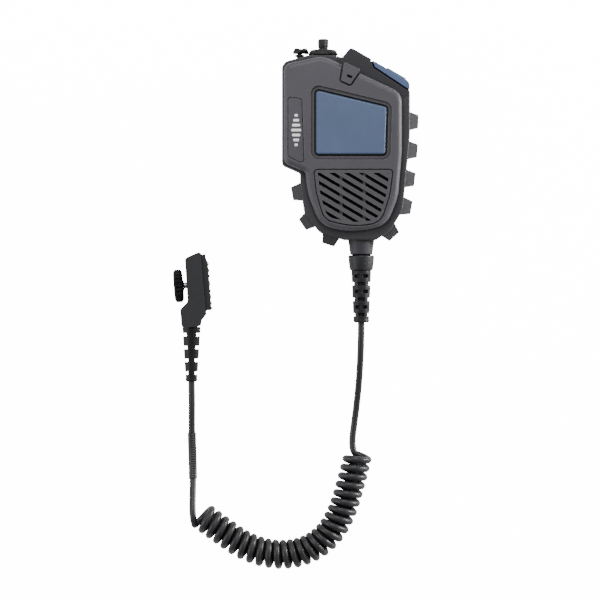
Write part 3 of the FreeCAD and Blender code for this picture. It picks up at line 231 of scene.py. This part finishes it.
def moulded_group():
    """Node group: mottled colour, worn edges with a painted highlight, painted shade in narrow
    gaps, and mould grain.
    """
    tree = bpy.data.node_groups.new("moulded_surface", "ShaderNodeTree")
    face = tree.interface
    for name, kind, value in (("Colour", "NodeSocketColor", (0.1, 0.1, 0.1, 1)),
                              ("Edge Colour", "NodeSocketColor", (0.2, 0.2, 0.2, 1)),
                              ("Roughness", "NodeSocketFloat", 0.5),
                              ("Grain Scale", "NodeSocketFloat", 2600.0),
                              ("Edge Width", "NodeSocketFloat", 0.0005),
                              ("Crevice Reach", "NodeSocketFloat", 0.0020),
                              ("Wear And Highlight", "NodeSocketFloat", 0.5)):
        socket = face.new_socket(name, in_out="INPUT", socket_type=kind)
        socket.default_value = value
    for name, kind in (("Colour", "NodeSocketColor"), ("Roughness", "NodeSocketFloat"),
                       ("Height", "NodeSocketFloat")):
        face.new_socket(name, in_out="OUTPUT", socket_type=kind)
    entry = tree.nodes.new("NodeGroupInput").outputs
    leave = tree.nodes.new("NodeGroupOutput").inputs
    place = tree.nodes.new("ShaderNodeTexCoord").outputs["Object"]
    cloud = noise(tree, place, 55, 4)
    fine = noise(tree, place, 900, 3)
    grain = noise(tree, place, 2600, 2, 0.6)
    tree.links.new(entry["Grain Scale"], grain.inputs["Scale"])
    # Broken edges take a lighter, patchy colour: partly rubbing wear and partly a painted highlight
    # along the rounds. Roughness is lowered there too.
    bevel = tree.nodes.new("ShaderNodeBevel")
    bevel.samples = 6
    tree.links.new(entry["Edge Width"], bevel.inputs["Radius"])
    flat = tree.nodes.new("ShaderNodeNewGeometry").outputs["Normal"]
    turn = tree.nodes.new("ShaderNodeVectorMath")
    turn.operation = "DOT_PRODUCT"
    tree.links.new(bevel.outputs["Normal"], turn.inputs[0])
    tree.links.new(flat, turn.inputs[1])
    edge = ramp(tree, turn.outputs["Value"], 0.995, 0.86)
    patchy = ramp(tree, fine.outputs["Fac"], 0.32, 0.62)
    worn_highlit_edge = maths(tree, "MULTIPLY", maths(tree, "MULTIPLY", edge, patchy), entry["Wear And Highlight"])
    shade = ramp(tree, cloud.outputs["Fac"], 0.25, 0.75)
    dark = tree.nodes.new("ShaderNodeHueSaturation")
    dark.inputs["Value"].default_value = 0.86
    tree.links.new(entry["Colour"], dark.inputs["Color"])
    body = blend_colour(tree, shade, dark.outputs["Color"], entry["Colour"])
    speck = ramp(tree, grain.outputs["Fac"], 0.3, 0.75)
    speckled = tree.nodes.new("ShaderNodeHueSaturation")
    tree.links.new(maths(tree, "ADD", maths(tree, "MULTIPLY", speck, 0.16), 0.92),
                   speckled.inputs["Value"])
    tree.links.new(body, speckled.inputs["Color"])
    worn_highlit_colour = blend_colour(tree, worn_highlit_edge, speckled.outputs["Color"], entry["Edge Colour"])
    # Painted shade: the colour is darkened where ambient occlusion finds nearby surfaces, in gaps,
    # creases and recesses.
    hollow = tree.nodes.new("ShaderNodeAmbientOcclusion")
    hollow.samples = 6
    tree.links.new(entry["Crevice Reach"], hollow.inputs["Distance"])
    open_air = ramp(tree, hollow.outputs["AO"], 0.38, 0.90)
    painted_crevice_shade = tree.nodes.new("ShaderNodeHueSaturation")
    tree.links.new(maths(tree, "ADD", maths(tree, "MULTIPLY", open_air, 0.85), 0.15),
                   painted_crevice_shade.inputs["Value"])
    tree.links.new(worn_highlit_colour, painted_crevice_shade.inputs["Color"])
    tree.links.new(painted_crevice_shade.outputs["Color"], leave["Colour"])
    rough = maths(tree, "SUBTRACT", entry["Roughness"], maths(tree, "MULTIPLY", worn_highlit_edge, 0.12))
    rough = maths(tree, "ADD", rough, maths(tree, "MULTIPLY", shade, 0.06))
    tree.links.new(rough, leave["Roughness"])
    tree.links.new(grain.outputs["Fac"], leave["Height"])
    return tree


MOULDED = moulded_group()


def moulded(name, colour, edge, roughness, grain=2600, depth=0.00004, wear_and_highlight=0.6, edge_width=0.0005,
            specular=0.5, metallic=0.0):
    """A moulded or finished surface, built round the shared group."""
    material = bpy.data.materials.new(name)
    material.use_nodes = True
    tree = material.node_tree
    shader = tree.nodes["Principled BSDF"]
    effect = tree.nodes.new("ShaderNodeGroup")
    effect.node_tree = MOULDED
    effect.inputs["Colour"].default_value = (*colour, 1)
    effect.inputs["Edge Colour"].default_value = (*edge, 1)
    effect.inputs["Roughness"].default_value = roughness
    effect.inputs["Grain Scale"].default_value = grain
    effect.inputs["Edge Width"].default_value = edge_width
    effect.inputs["Wear And Highlight"].default_value = wear_and_highlight
    bump = tree.nodes.new("ShaderNodeBump")
    bump.inputs["Strength"].default_value = 0.6
    bump.inputs["Distance"].default_value = depth
    tree.links.new(effect.outputs["Height"], bump.inputs["Height"])
    tree.links.new(bump.outputs["Normal"], shader.inputs["Normal"])
    tree.links.new(effect.outputs["Colour"], shader.inputs["Base Color"])
    tree.links.new(effect.outputs["Roughness"], shader.inputs["Roughness"])
    shader.inputs["Specular IOR Level"].default_value = specular
    shader.inputs["Metallic"].default_value = metallic
    return material


def paint(piece, material):
    piece.data.materials.clear()
    piece.data.materials.append(material)


CORD_JACKET = moulded("cord_jacket", (0.0145, 0.0145, 0.0165), (0.04, 0.04, 0.044), 0.42,
                      grain=1800, depth=0.00003, wear_and_highlight=0.2, specular=0.4)
paint(cord, CORD_JACKET)
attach(cord, "root")
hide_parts("cord_mic_lead", "cord_coil", "cord_plug_lead")


# ---- front shell -----------------------------------------------------------------------------
# The speaking half of the case, injection-moulded in dark grey nylon with a fine spark grain.
# It is screwed to the rear half from behind, and its outer edge is broadly rounded.

def broken(piece, width, segments=2, angle=32):
    """Round the sharp edges of a piece."""
    bevel = piece.modifiers.new("broken_edges", "BEVEL")
    bevel.width = width
    bevel.segments = segments
    bevel.limit_method = "ANGLE"
    bevel.angle_limit = math.radians(angle)
    piece.modifiers.new("even_shading", "WEIGHTED_NORMAL").keep_sharp = True
    return piece


FLAT_ANGLE = math.radians(0.6)
SAME_PLACE = 1e-6


def finished(node, material, width=0.0003, body="root", segments=3):
    """A piece made from a solid's faces with its edges broken by an even round."""
    mesh = frame["nodes"][node].data.copy()
    mesh.name = node + "_skin"
    mesh.materials.clear()
    skin = bmesh.new()
    skin.from_mesh(mesh)
    bmesh.ops.remove_doubles(skin, verts=skin.verts, dist=SAME_PLACE)
    bmesh.ops.dissolve_limit(skin, angle_limit=FLAT_ANGLE, verts=skin.verts, edges=skin.edges)
    for face in skin.faces:
        face.smooth = True
    skin.to_mesh(mesh)
    skin.free()
    for layer in list(mesh.uv_layers):
        mesh.uv_layers.remove(layer)
    piece = broken(link(node + "_piece", mesh), width, segments)
    paint(piece, material)
    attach(piece, body)
    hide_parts(node)
    return piece


SHELL_GREY = moulded("shell_grey", (0.0535, 0.0515, 0.0605), (0.17, 0.165, 0.185), 0.48, grain=3000,
                     wear_and_highlight=0.8, edge_width=0.0006, specular=0.3)
finished("front_shell", SHELL_GREY, 0.0003)


# ---- rear shell and the seal between the halves ------------------------------------------------
# The back half of the case, the same nylon in a darker grey, with the screw posts inside it.
# A flat rubber seal shows as a thin line between the halves.

SHELL_DARK = moulded("shell_dark", (0.026, 0.0255, 0.030), (0.085, 0.084, 0.095), 0.5, grain=2800,
                     wear_and_highlight=0.6, specular=0.28)
RUBBER = moulded("black_rubber", (0.0065, 0.0065, 0.0075), (0.03, 0.03, 0.034), 0.55, grain=1600,
                 wear_and_highlight=0.5, specular=0.3)
finished("rear_shell", SHELL_DARK, 0.0003)
finished("case_seal", RUBBER, 0.0001)


# ---- rubber armour ----------------------------------------------------------------------------
# A thick elastomer jacket round the waist of the case. It is stretched on and held by the
# rounded edges of the shells, and its eight blocks take the knocks.

ARMOUR = moulded("armour_rubber", (0.029, 0.0285, 0.032), (0.10, 0.098, 0.11), 0.52, grain=1900,
                 depth=0.00005, wear_and_highlight=0.7, edge_width=0.0008, specular=0.3)
finished("armour", ARMOUR, 0.0007, segments=4)


# ---- shoulder block ---------------------------------------------------------------------------
# A separate moulding set in the upper right corner of the armour. It carries the slanting key.

SHOULDER_GREY = moulded("shoulder_grey", (0.019, 0.0185, 0.0225), (0.08, 0.079, 0.09), 0.5,
                        grain=2800, wear_and_highlight=0.7, edge_width=0.0008, specular=0.26)
finished("shoulder_block", SHOULDER_GREY, 0.0005)


# ---- press-to-talk bar ------------------------------------------------------------------------
# A wide slate-blue panel in a recess of the front shell, bonded to a black rubber carrier.
# The whole panel is pressed in against a dome switch, and the carrier's flange holds it in.

KEY_BLUE = moulded("key_blue", (0.063, 0.092, 0.165), (0.16, 0.215, 0.33), 0.42, grain=3400,
                   depth=0.00002, wear_and_highlight=0.7, edge_width=0.0007, specular=0.3)
finished("ptt_button", KEY_BLUE, 0.0003, "ptt")
finished("ptt_carrier", RUBBER, 0.0002, "ptt")


# ---- top key ----------------------------------------------------------------------------------
# The same blue plastic in a strip along the slanting shoulder and round its corner. A ribbed
# rubber strip on its outer face is for the finger.

STRIP_BLUE = moulded("strip_blue", (0.064, 0.097, 0.190), (0.16, 0.22, 0.34), 0.4, grain=3400,
                     depth=0.00002, wear_and_highlight=0.8, edge_width=0.0007, specular=0.35)
finished("top_key", STRIP_BLUE, 0.0004, "upper_key")
finished("key_grip", RUBBER, 0.0003, "upper_key")


# ---- speaker grille ---------------------------------------------------------------------------
# A slotted insert that drops in the front shell over a black dust cloth. The slots slant, and
# two upright bars behind them stop the ribs from bending.

CLOTH = moulded("cloth_black", (0.004, 0.004, 0.0045), (0.01, 0.01, 0.01), 0.9, grain=5000,
                depth=0.0001, wear_and_highlight=0.1, specular=0.1)
GRILLE_GREY = moulded("grille_grey", (0.052, 0.051, 0.058), (0.16, 0.155, 0.17), 0.5, grain=3000,
                      wear_and_highlight=0.9, edge_width=0.0005, specular=0.3)
finished("grille_cover", GRILLE_GREY, 0.00025)


# ---- side badge -------------------------------------------------------------------------------
# A thin plate glued in a shallow recess beside the panel. Seven white bars of different
# heights, as on a sound-level scale, are printed on it.

BADGE_FACE = 0.0382
BAR_ACROSS = -0.0297
BAR_RISES = [(0.0348, 0.0018), (0.0321, 0.0032), (0.0294, 0.0045), (0.0267, 0.0054),
             (0.0240, 0.0045), (0.0213, 0.0032), (0.0186, 0.0018)]
BAR_TALL = 0.0014
BAR_THICK = 0.00006
BAR_CORNER = 0.0005


def made(name, skin, material, nodes=(), body="root", smooth=True):
    """An object from a bmesh, painted and fixed to its body."""
    for face in skin.faces:
        face.smooth = smooth
    mesh = bpy.data.meshes.new(name)
    skin.to_mesh(mesh)
    skin.free()
    piece = link(name, mesh)
    paint(piece, material)
    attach(piece, body)
    if nodes:
        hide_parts(*nodes)
    return piece


def block_in(skin, size, place):
    """Add a block of a size, centred on a place."""
    corners = bmesh.ops.create_cube(skin, size=1)["verts"]
    bmesh.ops.scale(skin, vec=size, verts=corners)
    bmesh.ops.translate(skin, vec=place, verts=corners)


PRINT_WHITE = moulded("print_white", (0.80, 0.80, 0.81), (0.7, 0.7, 0.7), 0.5, wear_and_highlight=0.3)
finished("side_badge", SHELL_GREY, 0.00015)

bar_skin = bmesh.new()
for up, reach in BAR_RISES:
    block_in(bar_skin, (reach, BAR_TALL, BAR_THICK), (BAR_ACROSS, up, BADGE_FACE + BAR_THICK / 2))
upright = [edge for edge in bar_skin.edges
           if abs(edge.verts[0].co.z - edge.verts[1].co.z) > BAR_THICK / 2]
bmesh.ops.bevel(bar_skin, geom=upright, offset=BAR_CORNER, segments=4, profile=0.5,
                affect="EDGES", material=-1)
made("badge_bars", bar_skin, PRINT_WHITE, smooth=False)


# ---- microphone port --------------------------------------------------------------------------
# A tongue of the shell's own plastic over the microphone capsule, with one slot for the sound.
# A deep groove runs round three of its sides.

finished("port_cover", SHELL_GREY, 0.0002)


# ---- headset socket and dust cap --------------------------------------------------------------
# A steel socket in the top edge, closed by a soft rubber cap. The cap has a flared skirt, and
# a fluted knob to pull it out by.

CAP_PLACE = (-0.0148, 0.0682, 0.0227)
CAP_PROFILE = [(0.0000, -0.0050), (0.0027, -0.0050), (0.00315, -0.0044), (0.00315, 0.0004),
               (0.0079, 0.0004), (0.0081, 0.0007), (0.0080, 0.0013), (0.0073, 0.0027),
               (0.0066, 0.0033), (0.0058, 0.0035), (0.0036, 0.0035), (0.0030, 0.0037),
               (0.0025, 0.0043), (0.0029, 0.0050), (0.0030, 0.0056), (0.0030, 0.0086),
               (0.0026, 0.0093), (0.0019, 0.0095), (0.0000, 0.0095)]
CAP_STEPS = 64
CAP_FLUTES = 12
FLUTE_DEPTH = 0.07
KNOB_FOOT = 0.0049
KNOB_SIDE = 0.0024


def spun(profile, place, steps, up=(0, 1, 0)):
    """A bmesh turned from a profile of (radius, height), about an axis through a place."""
    turned = bmesh.new()
    corners = [turned.verts.new((radius, 0, height)) for radius, height in profile]
    edges = [turned.edges.new(pair) for pair in zip(corners, corners[1:])]
    bmesh.ops.spin(turned, geom=corners + edges, cent=(0, 0, 0), axis=(0, 0, 1),
                   angle=2 * math.pi, steps=steps, use_merge=True)
    bmesh.ops.remove_doubles(turned, verts=turned.verts, dist=1e-7)
    bmesh.ops.recalc_face_normals(turned, faces=turned.faces)
    aim = Vector((0, 0, 1)).rotation_difference(Vector(up)).to_matrix().to_4x4()
    bmesh.ops.transform(turned, matrix=Matrix.Translation(place) @ aim, verts=turned.verts)
    return turned


cap_skin = spun(CAP_PROFILE, CAP_PLACE, CAP_STEPS)
for vertex in cap_skin.verts:
    height = vertex.co.y - CAP_PLACE[1]
    across, rise = vertex.co.x - CAP_PLACE[0], vertex.co.z - CAP_PLACE[2]
    radius = math.hypot(across, rise)
    if height > KNOB_FOOT and radius > KNOB_SIDE:
        flute = 0.5 + 0.5 * math.cos(CAP_FLUTES * math.atan2(rise, across))
        vertex.co.x = CAP_PLACE[0] + across * (1 - FLUTE_DEPTH * flute)
        vertex.co.z = CAP_PLACE[2] + rise * (1 - FLUTE_DEPTH * flute)
broken(made("dust_cap_piece", cap_skin, RUBBER, ["dust_cap"], "cap"), 0.0002)

STEEL = moulded("bright_steel", (0.50, 0.50, 0.51), (0.7, 0.7, 0.71), 0.32, grain=1500,
                depth=0.00001, metallic=1.0, wear_and_highlight=0.4)
finished("headset_socket", STEEL, 0.0002)


# ---- tether of the dust cap -------------------------------------------------------------------
# A thin rubber string, moulded with the cap, that is looped round itself and ends in a button
# pushed in the armour.

TETHER_R = 0.00075
LOOP_PLACE = (-0.0274, 0.0708, 0.0227)
LOOP_STEPS = 40
LOOPS = 2.6
LOOP_START = 0.5
LOOP_R = 0.0038
LOOP_CLOSING = 0.0016
LOOP_SWAY = 0.0010
CAP_END = (-0.0234, 0.0696, 0.0227)
BUTTON_END = [(-0.0278, 0.0700, 0.0227), (-0.0278, 0.0689, 0.0227)]

tether_points = [Vector(CAP_END)]
for step in range(LOOP_STEPS + 1):
    turn = 2 * math.pi * LOOPS * step / LOOP_STEPS + LOOP_START
    spread = LOOP_R - LOOP_CLOSING * step / LOOP_STEPS
    tether_points.append(Vector((LOOP_PLACE[0] + spread * math.cos(turn),
                                 LOOP_PLACE[1] + LOOP_SWAY * math.sin(1.5 * turn + 1),
                                 LOOP_PLACE[2] + spread * 1.1 * math.sin(turn))))
tether_points += [Vector(point) for point in BUTTON_END]
tether_guide = cord_curve("tether_guide", tether_points, TETHER_R)
bpy.context.view_layer.update()
tether_mesh = bpy.data.meshes.new_from_object(tether_guide)
bpy.data.objects.remove(tether_guide)
for face in tether_mesh.polygons:
    face.use_smooth = True
tether = link("cap_tether_piece", tether_mesh)
paint(tether, RUBBER)
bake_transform(tether)
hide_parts("cap_tether")
finished("tether_anchor", RUBBER, 0.0003)


# ---- neck and gland nut -----------------------------------------------------------------------
# The neck is part of the moulded case and narrows to a thread. A black nylon nut on that
# thread clamps the boot of the cord.

NECK_PLACE = (0.0062, -0.0334, 0.0227)
NUT_BLACK = moulded("nut_black", (0.0066, 0.0067, 0.0090), (0.05, 0.05, 0.055), 0.46, grain=2000,
                     wear_and_highlight=0.6, specular=0.35)
NECK_PROFILE = [(0.0043, -0.0036), (0.0072, -0.0036), (0.0073, 0.0000), (0.0067, 0.0040),
                (0.0062, 0.0076), (0.0058, 0.0080), (0.0051, 0.0081), (0.0051, 0.0152),
                (0.0043, 0.0152), (0.0043, -0.0036)]
NUT_PROFILE = [(0.0052, 0.0083), (0.0064, 0.0083), (0.0071, 0.0087), (0.0072, 0.0093),
               (0.0069, 0.0125), (0.0065, 0.0157), (0.0061, 0.0165), (0.0055, 0.0168),
               (0.0043, 0.0168), (0.0043, 0.0153), (0.0052, 0.0153), (0.0052, 0.0083)]
NECK_GREY = moulded("neck_grey", (0.029, 0.0285, 0.034), (0.10, 0.098, 0.11), 0.5, grain=2800,
                    wear_and_highlight=0.6, specular=0.3)
neck_skin = spun(NECK_PROFILE, NECK_PLACE, 64, up=(0, -1, 0))
broken(made("neck_piece", neck_skin, NECK_GREY, ["neck_sleeve"]), 0.0002)
nut_skin = spun(NUT_PROFILE, NECK_PLACE, 64, up=(0, -1, 0))
broken(made("gland_nut_piece", nut_skin, NUT_BLACK, ["gland_nut"]), 0.0002)


# ---- cord boot at the microphone --------------------------------------------------------------
# A moulded rubber strain relief. Rows of windows, turned by half a step from row to row, let
# it bend evenly, and its end flares out in a small lip round the cord.

BOOT_PLACE = (0.0062, -0.0502, 0.0227)
BOOT_SHANK = 0.0202
BOOT_ROWS = 6
BOOT_PITCH = 0.00427
BOOT_FIRST = 0.0030
WINDOW_TALL = 0.0017
BOOT_STEPS = 48
LIP_LONG = 0.0018
LIP_OUT = 0.0002
LIP_IN = 0.0003


def boot_skin(place, root, end, long, shank, shank_r, rows, first, pitch, tall, deep, sectors):
    """A bmesh of a tapered boot with windows sunk in each row, its sectors given in degrees."""
    def radius(height):
        return root + (end - root) * height / long

    profile = [(CORD_R, -shank), (shank_r, -shank), (shank_r, 0), (root, 0)]
    for row in range(rows):
        middle = first + pitch * row
        profile += [(radius(middle - tall / 2), middle - tall / 2),
                    (radius(middle + tall / 2), middle + tall / 2)]
    profile += [(end, long - LIP_LONG), (end + LIP_OUT, long - LIP_LONG / 2),
                (end - LIP_IN, long), (CORD_R, long), (CORD_R, -shank)]
    skin = spun(profile, place, BOOT_STEPS, up=(0, -1, 0))
    for row in range(rows):
        middle = place[1] - first - pitch * row
        for low, high in sectors[row % len(sectors)]:
            window = []
            for face in skin.faces:
                spot = face.calc_center_median()
                angle = math.degrees(math.atan2(spot.z - place[2], spot.x - place[0])) % 360
                inside = (angle - low) % 360 < high - low
                far_out = math.hypot(spot.x - place[0], spot.z - place[2]) > shank_r
                if inside and far_out and abs(spot.y - middle) < tall * 0.3:
                    window.append(face)
            sunk = bmesh.ops.extrude_face_region(skin, geom=window)
            floor_verts = [item for item in sunk["geom"] if isinstance(item, bmesh.types.BMVert)]
            bmesh.ops.delete(skin, geom=window, context="FACES")
            for vertex in floor_verts:
                out = Vector((vertex.co.x - place[0], 0, vertex.co.z - place[2]))
                vertex.co -= out.normalized() * deep
    bmesh.ops.recalc_face_normals(skin, faces=skin.faces)
    return skin


SIDE_WINDOWS = [(-34, 34), (64, 116), (146, 214), (244, 296)]
CORNER_WINDOWS = [(44, 84), (96, 136), (224, 264), (276, 316)]
BOOT_BLACK = moulded("boot_rubber", (0.0042, 0.0042, 0.0058), (0.05, 0.05, 0.055), 0.46,
                     grain=2000, wear_and_highlight=0.7, edge_width=0.0006, specular=0.28)
cable_boot = boot_skin(BOOT_PLACE, 0.0055, 0.0043, 0.0286, BOOT_SHANK, 0.0042, BOOT_ROWS,
                       BOOT_FIRST, BOOT_PITCH, WINDOW_TALL, 0.0018,
                       [CORNER_WINDOWS, SIDE_WINDOWS])
broken(made("cable_boot_piece", cable_boot, BOOT_BLACK, ["cable_boot"]), 0.0003)


# ---- connector boot ---------------------------------------------------------------------------
# The strain relief at the far end. Four pairs of deep side slots cut it into five links that
# hang on a spine in front and behind.

PLUG_BOOT_PLACE = (-0.0879, -0.0813, 0.0094)
PLUG_BOOT_BLACK = moulded("plug_boot_rubber", (0.0028, 0.0028, 0.004), (0.04, 0.04, 0.045), 0.46,
                          grain=2000, wear_and_highlight=0.7, edge_width=0.0006, specular=0.24)
plug_boot = boot_skin(PLUG_BOOT_PLACE, 0.0051, 0.0032, 0.0304, 0.006, 0.0034, 4, 0.0044, 0.0071,
                      0.0018, 0.0021, [[(-70, 70), (110, 250)]])
broken(made("plug_boot_piece", plug_boot, PLUG_BOOT_BLACK, ["plug_boot"]), 0.0003)


# ---- connector body, contact block and seal ---------------------------------------------------
# A two-part nylon housing that hooks on the side of a radio. The contact block stands out of
# its face with small cross ribs and eight gold pins, and a rubber sheet seals it.

PLUG_BLACK = moulded("plug_plastic", (0.0150, 0.0150, 0.0180), (0.07, 0.07, 0.078), 0.46,
                     grain=2800, wear_and_highlight=0.6, edge_width=0.0008, specular=0.32)
BRASS = moulded("brass", (0.78, 0.60, 0.27), (0.9, 0.75, 0.45), 0.3, grain=1500, depth=0.00001,
                metallic=1.0, wear_and_highlight=0.3)
finished("plug_body", PLUG_BLACK, 0.0007, segments=4)
finished("plug_contact_block", PLUG_BLACK, 0.0004)
finished("plug_contacts", BRASS, 0.0002)
finished("plug_seal", RUBBER, 0.0001)

LEAN = Matrix.Rotation(math.radians(4.5), 4, "Z")
PLUG_AXES = Matrix.Translation(PLUG_BOOT_PLACE) @ LEAN
CONTACT_RIBS = [(0.01192, 0.0096), (0.01192, 0.0156), (0.01192, 0.0190), (0.01192, 0.0274),
                (0.01192, 0.0308), (0.01140, 0.0352)]
RIB_SIZE = (0.0007, 0.0013, 0.0100)
rib_skin = bmesh.new()
for out, height in CONTACT_RIBS:
    block_in(rib_skin, RIB_SIZE, (out, height, 0))
bmesh.ops.transform(rib_skin, matrix=PLUG_AXES, verts=rib_skin.verts)
broken(made("contact_ribs", rib_skin, PLUG_BLACK, smooth=False), 0.0003)


# ---- thumb screw ------------------------------------------------------------------------------
# A captive screw through the connector with a coarsely ribbed plastic knob pressed on its
# head. It draws the connector on to the radio.

KNOB_RIBS = 22
RIB_DEPTH = 0.0009
RIBBED_FROM = 0.0080
KNOB_PROFILE = [(0.0016, 0.0000), (0.0074, 0.0000), (0.0084, 0.0004), (0.0092, 0.0011),
                (0.0092, 0.0039), (0.0084, 0.0046), (0.0074, 0.0050), (0.0031, 0.0050),
                (0.0029, 0.0056), (0.0016, 0.0056), (0.0016, 0.0000)]
KNOB_PLACE = PLUG_AXES @ Vector((-0.0079, 0.0232, 0))
knob_axis = LEAN @ Vector((1, 0, 0))
knob_skin = spun(KNOB_PROFILE, KNOB_PLACE, KNOB_RIBS * 6, up=knob_axis)
for vertex in knob_skin.verts:
    away = vertex.co - KNOB_PLACE
    flat = away - knob_axis * away.dot(knob_axis)
    if flat.length > RIBBED_FROM:
        side = flat.cross(knob_axis).dot(Vector((0, 0, 1)))
        angle = math.atan2(side, flat.z)
        dip = RIB_DEPTH * (0.5 - 0.5 * math.cos(KNOB_RIBS * angle)) ** 2
        vertex.co -= flat.normalized() * dip
KNOB_BLACK = moulded("knob_black", (0.0025, 0.0025, 0.003), (0.03, 0.03, 0.033), 0.5, wear_and_highlight=0.5,
                     specular=0.12)
broken(made("thumb_knob_piece", knob_skin, KNOB_BLACK, ["thumb_knob"], "thumb"),
       0.0002, angle=40)
finished("thumb_screw", STEEL, 0.0002, "thumb")


# ---- label sleeve -----------------------------------------------------------------------------
# A shrunk film sleeve on the straight end of the cord, with a plain row of printed dashes
# along its upper side.

MARK_MIDDLE = -0.0873
MARK_REACH = 0.0008
MARK_PITCH = 0.0013
MARK_SHARE = 0.5
MARK_LOWEST = 0.0030
MARK_GREY = (0.07, 0.07, 0.073)
LABEL = moulded("label_film", (0.0065, 0.0065, 0.0080), (0.05, 0.05, 0.055), 0.38, wear_and_highlight=0.2,
                specular=0.35)
label_tree = LABEL.node_tree
label_spot = label_tree.nodes.new("ShaderNodeSeparateXYZ")
label_tree.links.new(label_tree.nodes.new("ShaderNodeTexCoord").outputs["Object"],
                     label_spot.inputs[0])
mark_wave = maths(label_tree, "SINE", maths(label_tree, "MULTIPLY", label_spot.outputs["Y"],
                                            2 * math.pi / MARK_PITCH))
mark_row = maths(label_tree, "GREATER_THAN", mark_wave, MARK_SHARE)
mark_aside = maths(label_tree, "ABSOLUTE", maths(label_tree, "SUBTRACT", label_spot.outputs["X"],
                                                 MARK_MIDDLE))
mark_field = maths(label_tree, "LESS_THAN", mark_aside, MARK_REACH)
mark_top = maths(label_tree, "GREATER_THAN", label_spot.outputs["Z"], MARK_LOWEST)
marked = maths(label_tree, "MULTIPLY", mark_row, mark_field)
marked = maths(label_tree, "MULTIPLY", marked, mark_top)
label_base = label_tree.nodes["Principled BSDF"].inputs["Base Color"]
label_plain = label_base.links[0].from_socket
label_tree.links.new(blend_colour(label_tree, marked, label_plain, MARK_GREY), label_base)
finished("label_sleeve", LABEL, 0.0001)


# ---- rear clip --------------------------------------------------------------------------------
# A glass-filled nylon clip that turns on a shoulder screw. Its sprung jaw hinges on a steel
# pin, and a rubber pad in the jaw grips the strap.

CLIP_BLACK = moulded("clip_plastic", (0.016, 0.016, 0.018), (0.06, 0.06, 0.066), 0.5, wear_and_highlight=0.7,
                     specular=0.3)
finished("clip_plate", CLIP_BLACK, 0.0004, "clip_swivel")
finished("clip_jaw", CLIP_BLACK, 0.0005, "clip_lever")
finished("clip_grip_pad", RUBBER, 0.0003, "clip_lever")
finished("clip_hinge_pin", STEEL, 0.0002, "clip_swivel")
finished("clip_axle", STEEL, 0.0002)
finished("case_screws", STEEL, 0.0001)


# ---- parts inside the case --------------------------------------------------------------------
# The board, the loudspeaker, the capsule and the small metal parts keep their solids' shapes
# and take the finish of what they are made of.

BOARD = moulded("board_green", (0.02, 0.12, 0.06), (0.05, 0.2, 0.1), 0.35, wear_and_highlight=0.3)
MAGNET = moulded("magnet_iron", (0.2, 0.2, 0.21), (0.35, 0.35, 0.36), 0.5, metallic=1.0)

finishes = {"shell_grey": SHELL_GREY, "shell_dark": SHELL_DARK, "armour_rubber": ARMOUR,
            "key_blue": KEY_BLUE, "black_rubber": RUBBER, "boot_rubber": BOOT_BLACK,
            "cord_jacket": CORD_JACKET, "label_film": LABEL, "plug_plastic": PLUG_BLACK,
            "steel": STEEL, "brass": BRASS, "board_green": BOARD, "clip_plastic": CLIP_BLACK,
            "cloth_black": CLOTH, "magnet_iron": MAGNET}
for row in frame["record"]["subparts"]:
    paint(frame["nodes"][row["node"]], finishes[row["material_slot"]])


# ---- floor and light --------------------------------------------------------------------------
# A plain pale surface under soft studio light: one panel near the top of the microphone, a
# wide one overhead, weaker ones at the sides and a low one on the right.

FLOOR_HALF = 3
FLOOR_BRIGHT = 14.0
FLOOR_GLOW = 0.3
WORLD_GLOW = 0.42

floor_mesh = bpy.data.meshes.new("floor")
floor_skin = bmesh.new()
bmesh.ops.create_grid(floor_skin, x_segments=1, y_segments=1, size=FLOOR_HALF)
floor_skin.to_mesh(floor_mesh)
floor_skin.free()
floor = link("floor", floor_mesh)
floor_material = bpy.data.materials.new("pale_floor")
floor_material.use_nodes = True
floor_shader = floor_material.node_tree.nodes["Principled BSDF"]
floor_shader.inputs["Base Color"].default_value = (0.9, 0.9, 0.9, 1)
floor_shader.inputs["Roughness"].default_value = 0.8
floor_shader.inputs["Emission Color"].default_value = (1, 1, 1, 1)
seen = floor_material.node_tree.nodes.new("ShaderNodeLightPath").outputs["Is Camera Ray"]
floor_tree = floor_material.node_tree
glow = maths(floor_tree, "ADD", maths(floor_tree, "MULTIPLY", seen, FLOOR_BRIGHT), FLOOR_GLOW)
floor_tree.links.new(glow, floor_shader.inputs["Emission Strength"])
paint(floor, floor_material)

world = bpy.data.worlds.new("studio")
world.use_nodes = True
sky = world.node_tree.nodes["Background"]
sky.inputs["Color"].default_value = (1, 1, 1, 1)
sky.inputs["Strength"].default_value = WORLD_GLOW
bpy.context.scene.world = world


def panel(name, place, aim, size, power):
    """A soft square light that faces a point."""
    light = bpy.data.lights.new(name, "AREA")
    light.size = size
    light.energy = power
    lamp = link(name, light)
    lamp.location = place
    lamp.rotation_euler = (Vector(aim) - Vector(place)).to_track_quat("-Z", "Y").to_euler()


panel("near_top", (-0.05, 0.38, 0.42), (0, 0.02, 0.03), 0.25, 1.8)
panel("overhead", (-0.3, 0.5, 1.2), (0, 0, 0), 0.9, 6.5)
panel("left_side", (-1.1, -0.2, 0.5), (0, 0, 0), 0.6, 7)
panel("right_side", (0.9, -0.6, 0.9), (0, 0, 0), 0.6, 3)
panel("low_right", (0.8, 0.18, 0.10), (0.03, 0.02, 0.02), 0.16, 14)
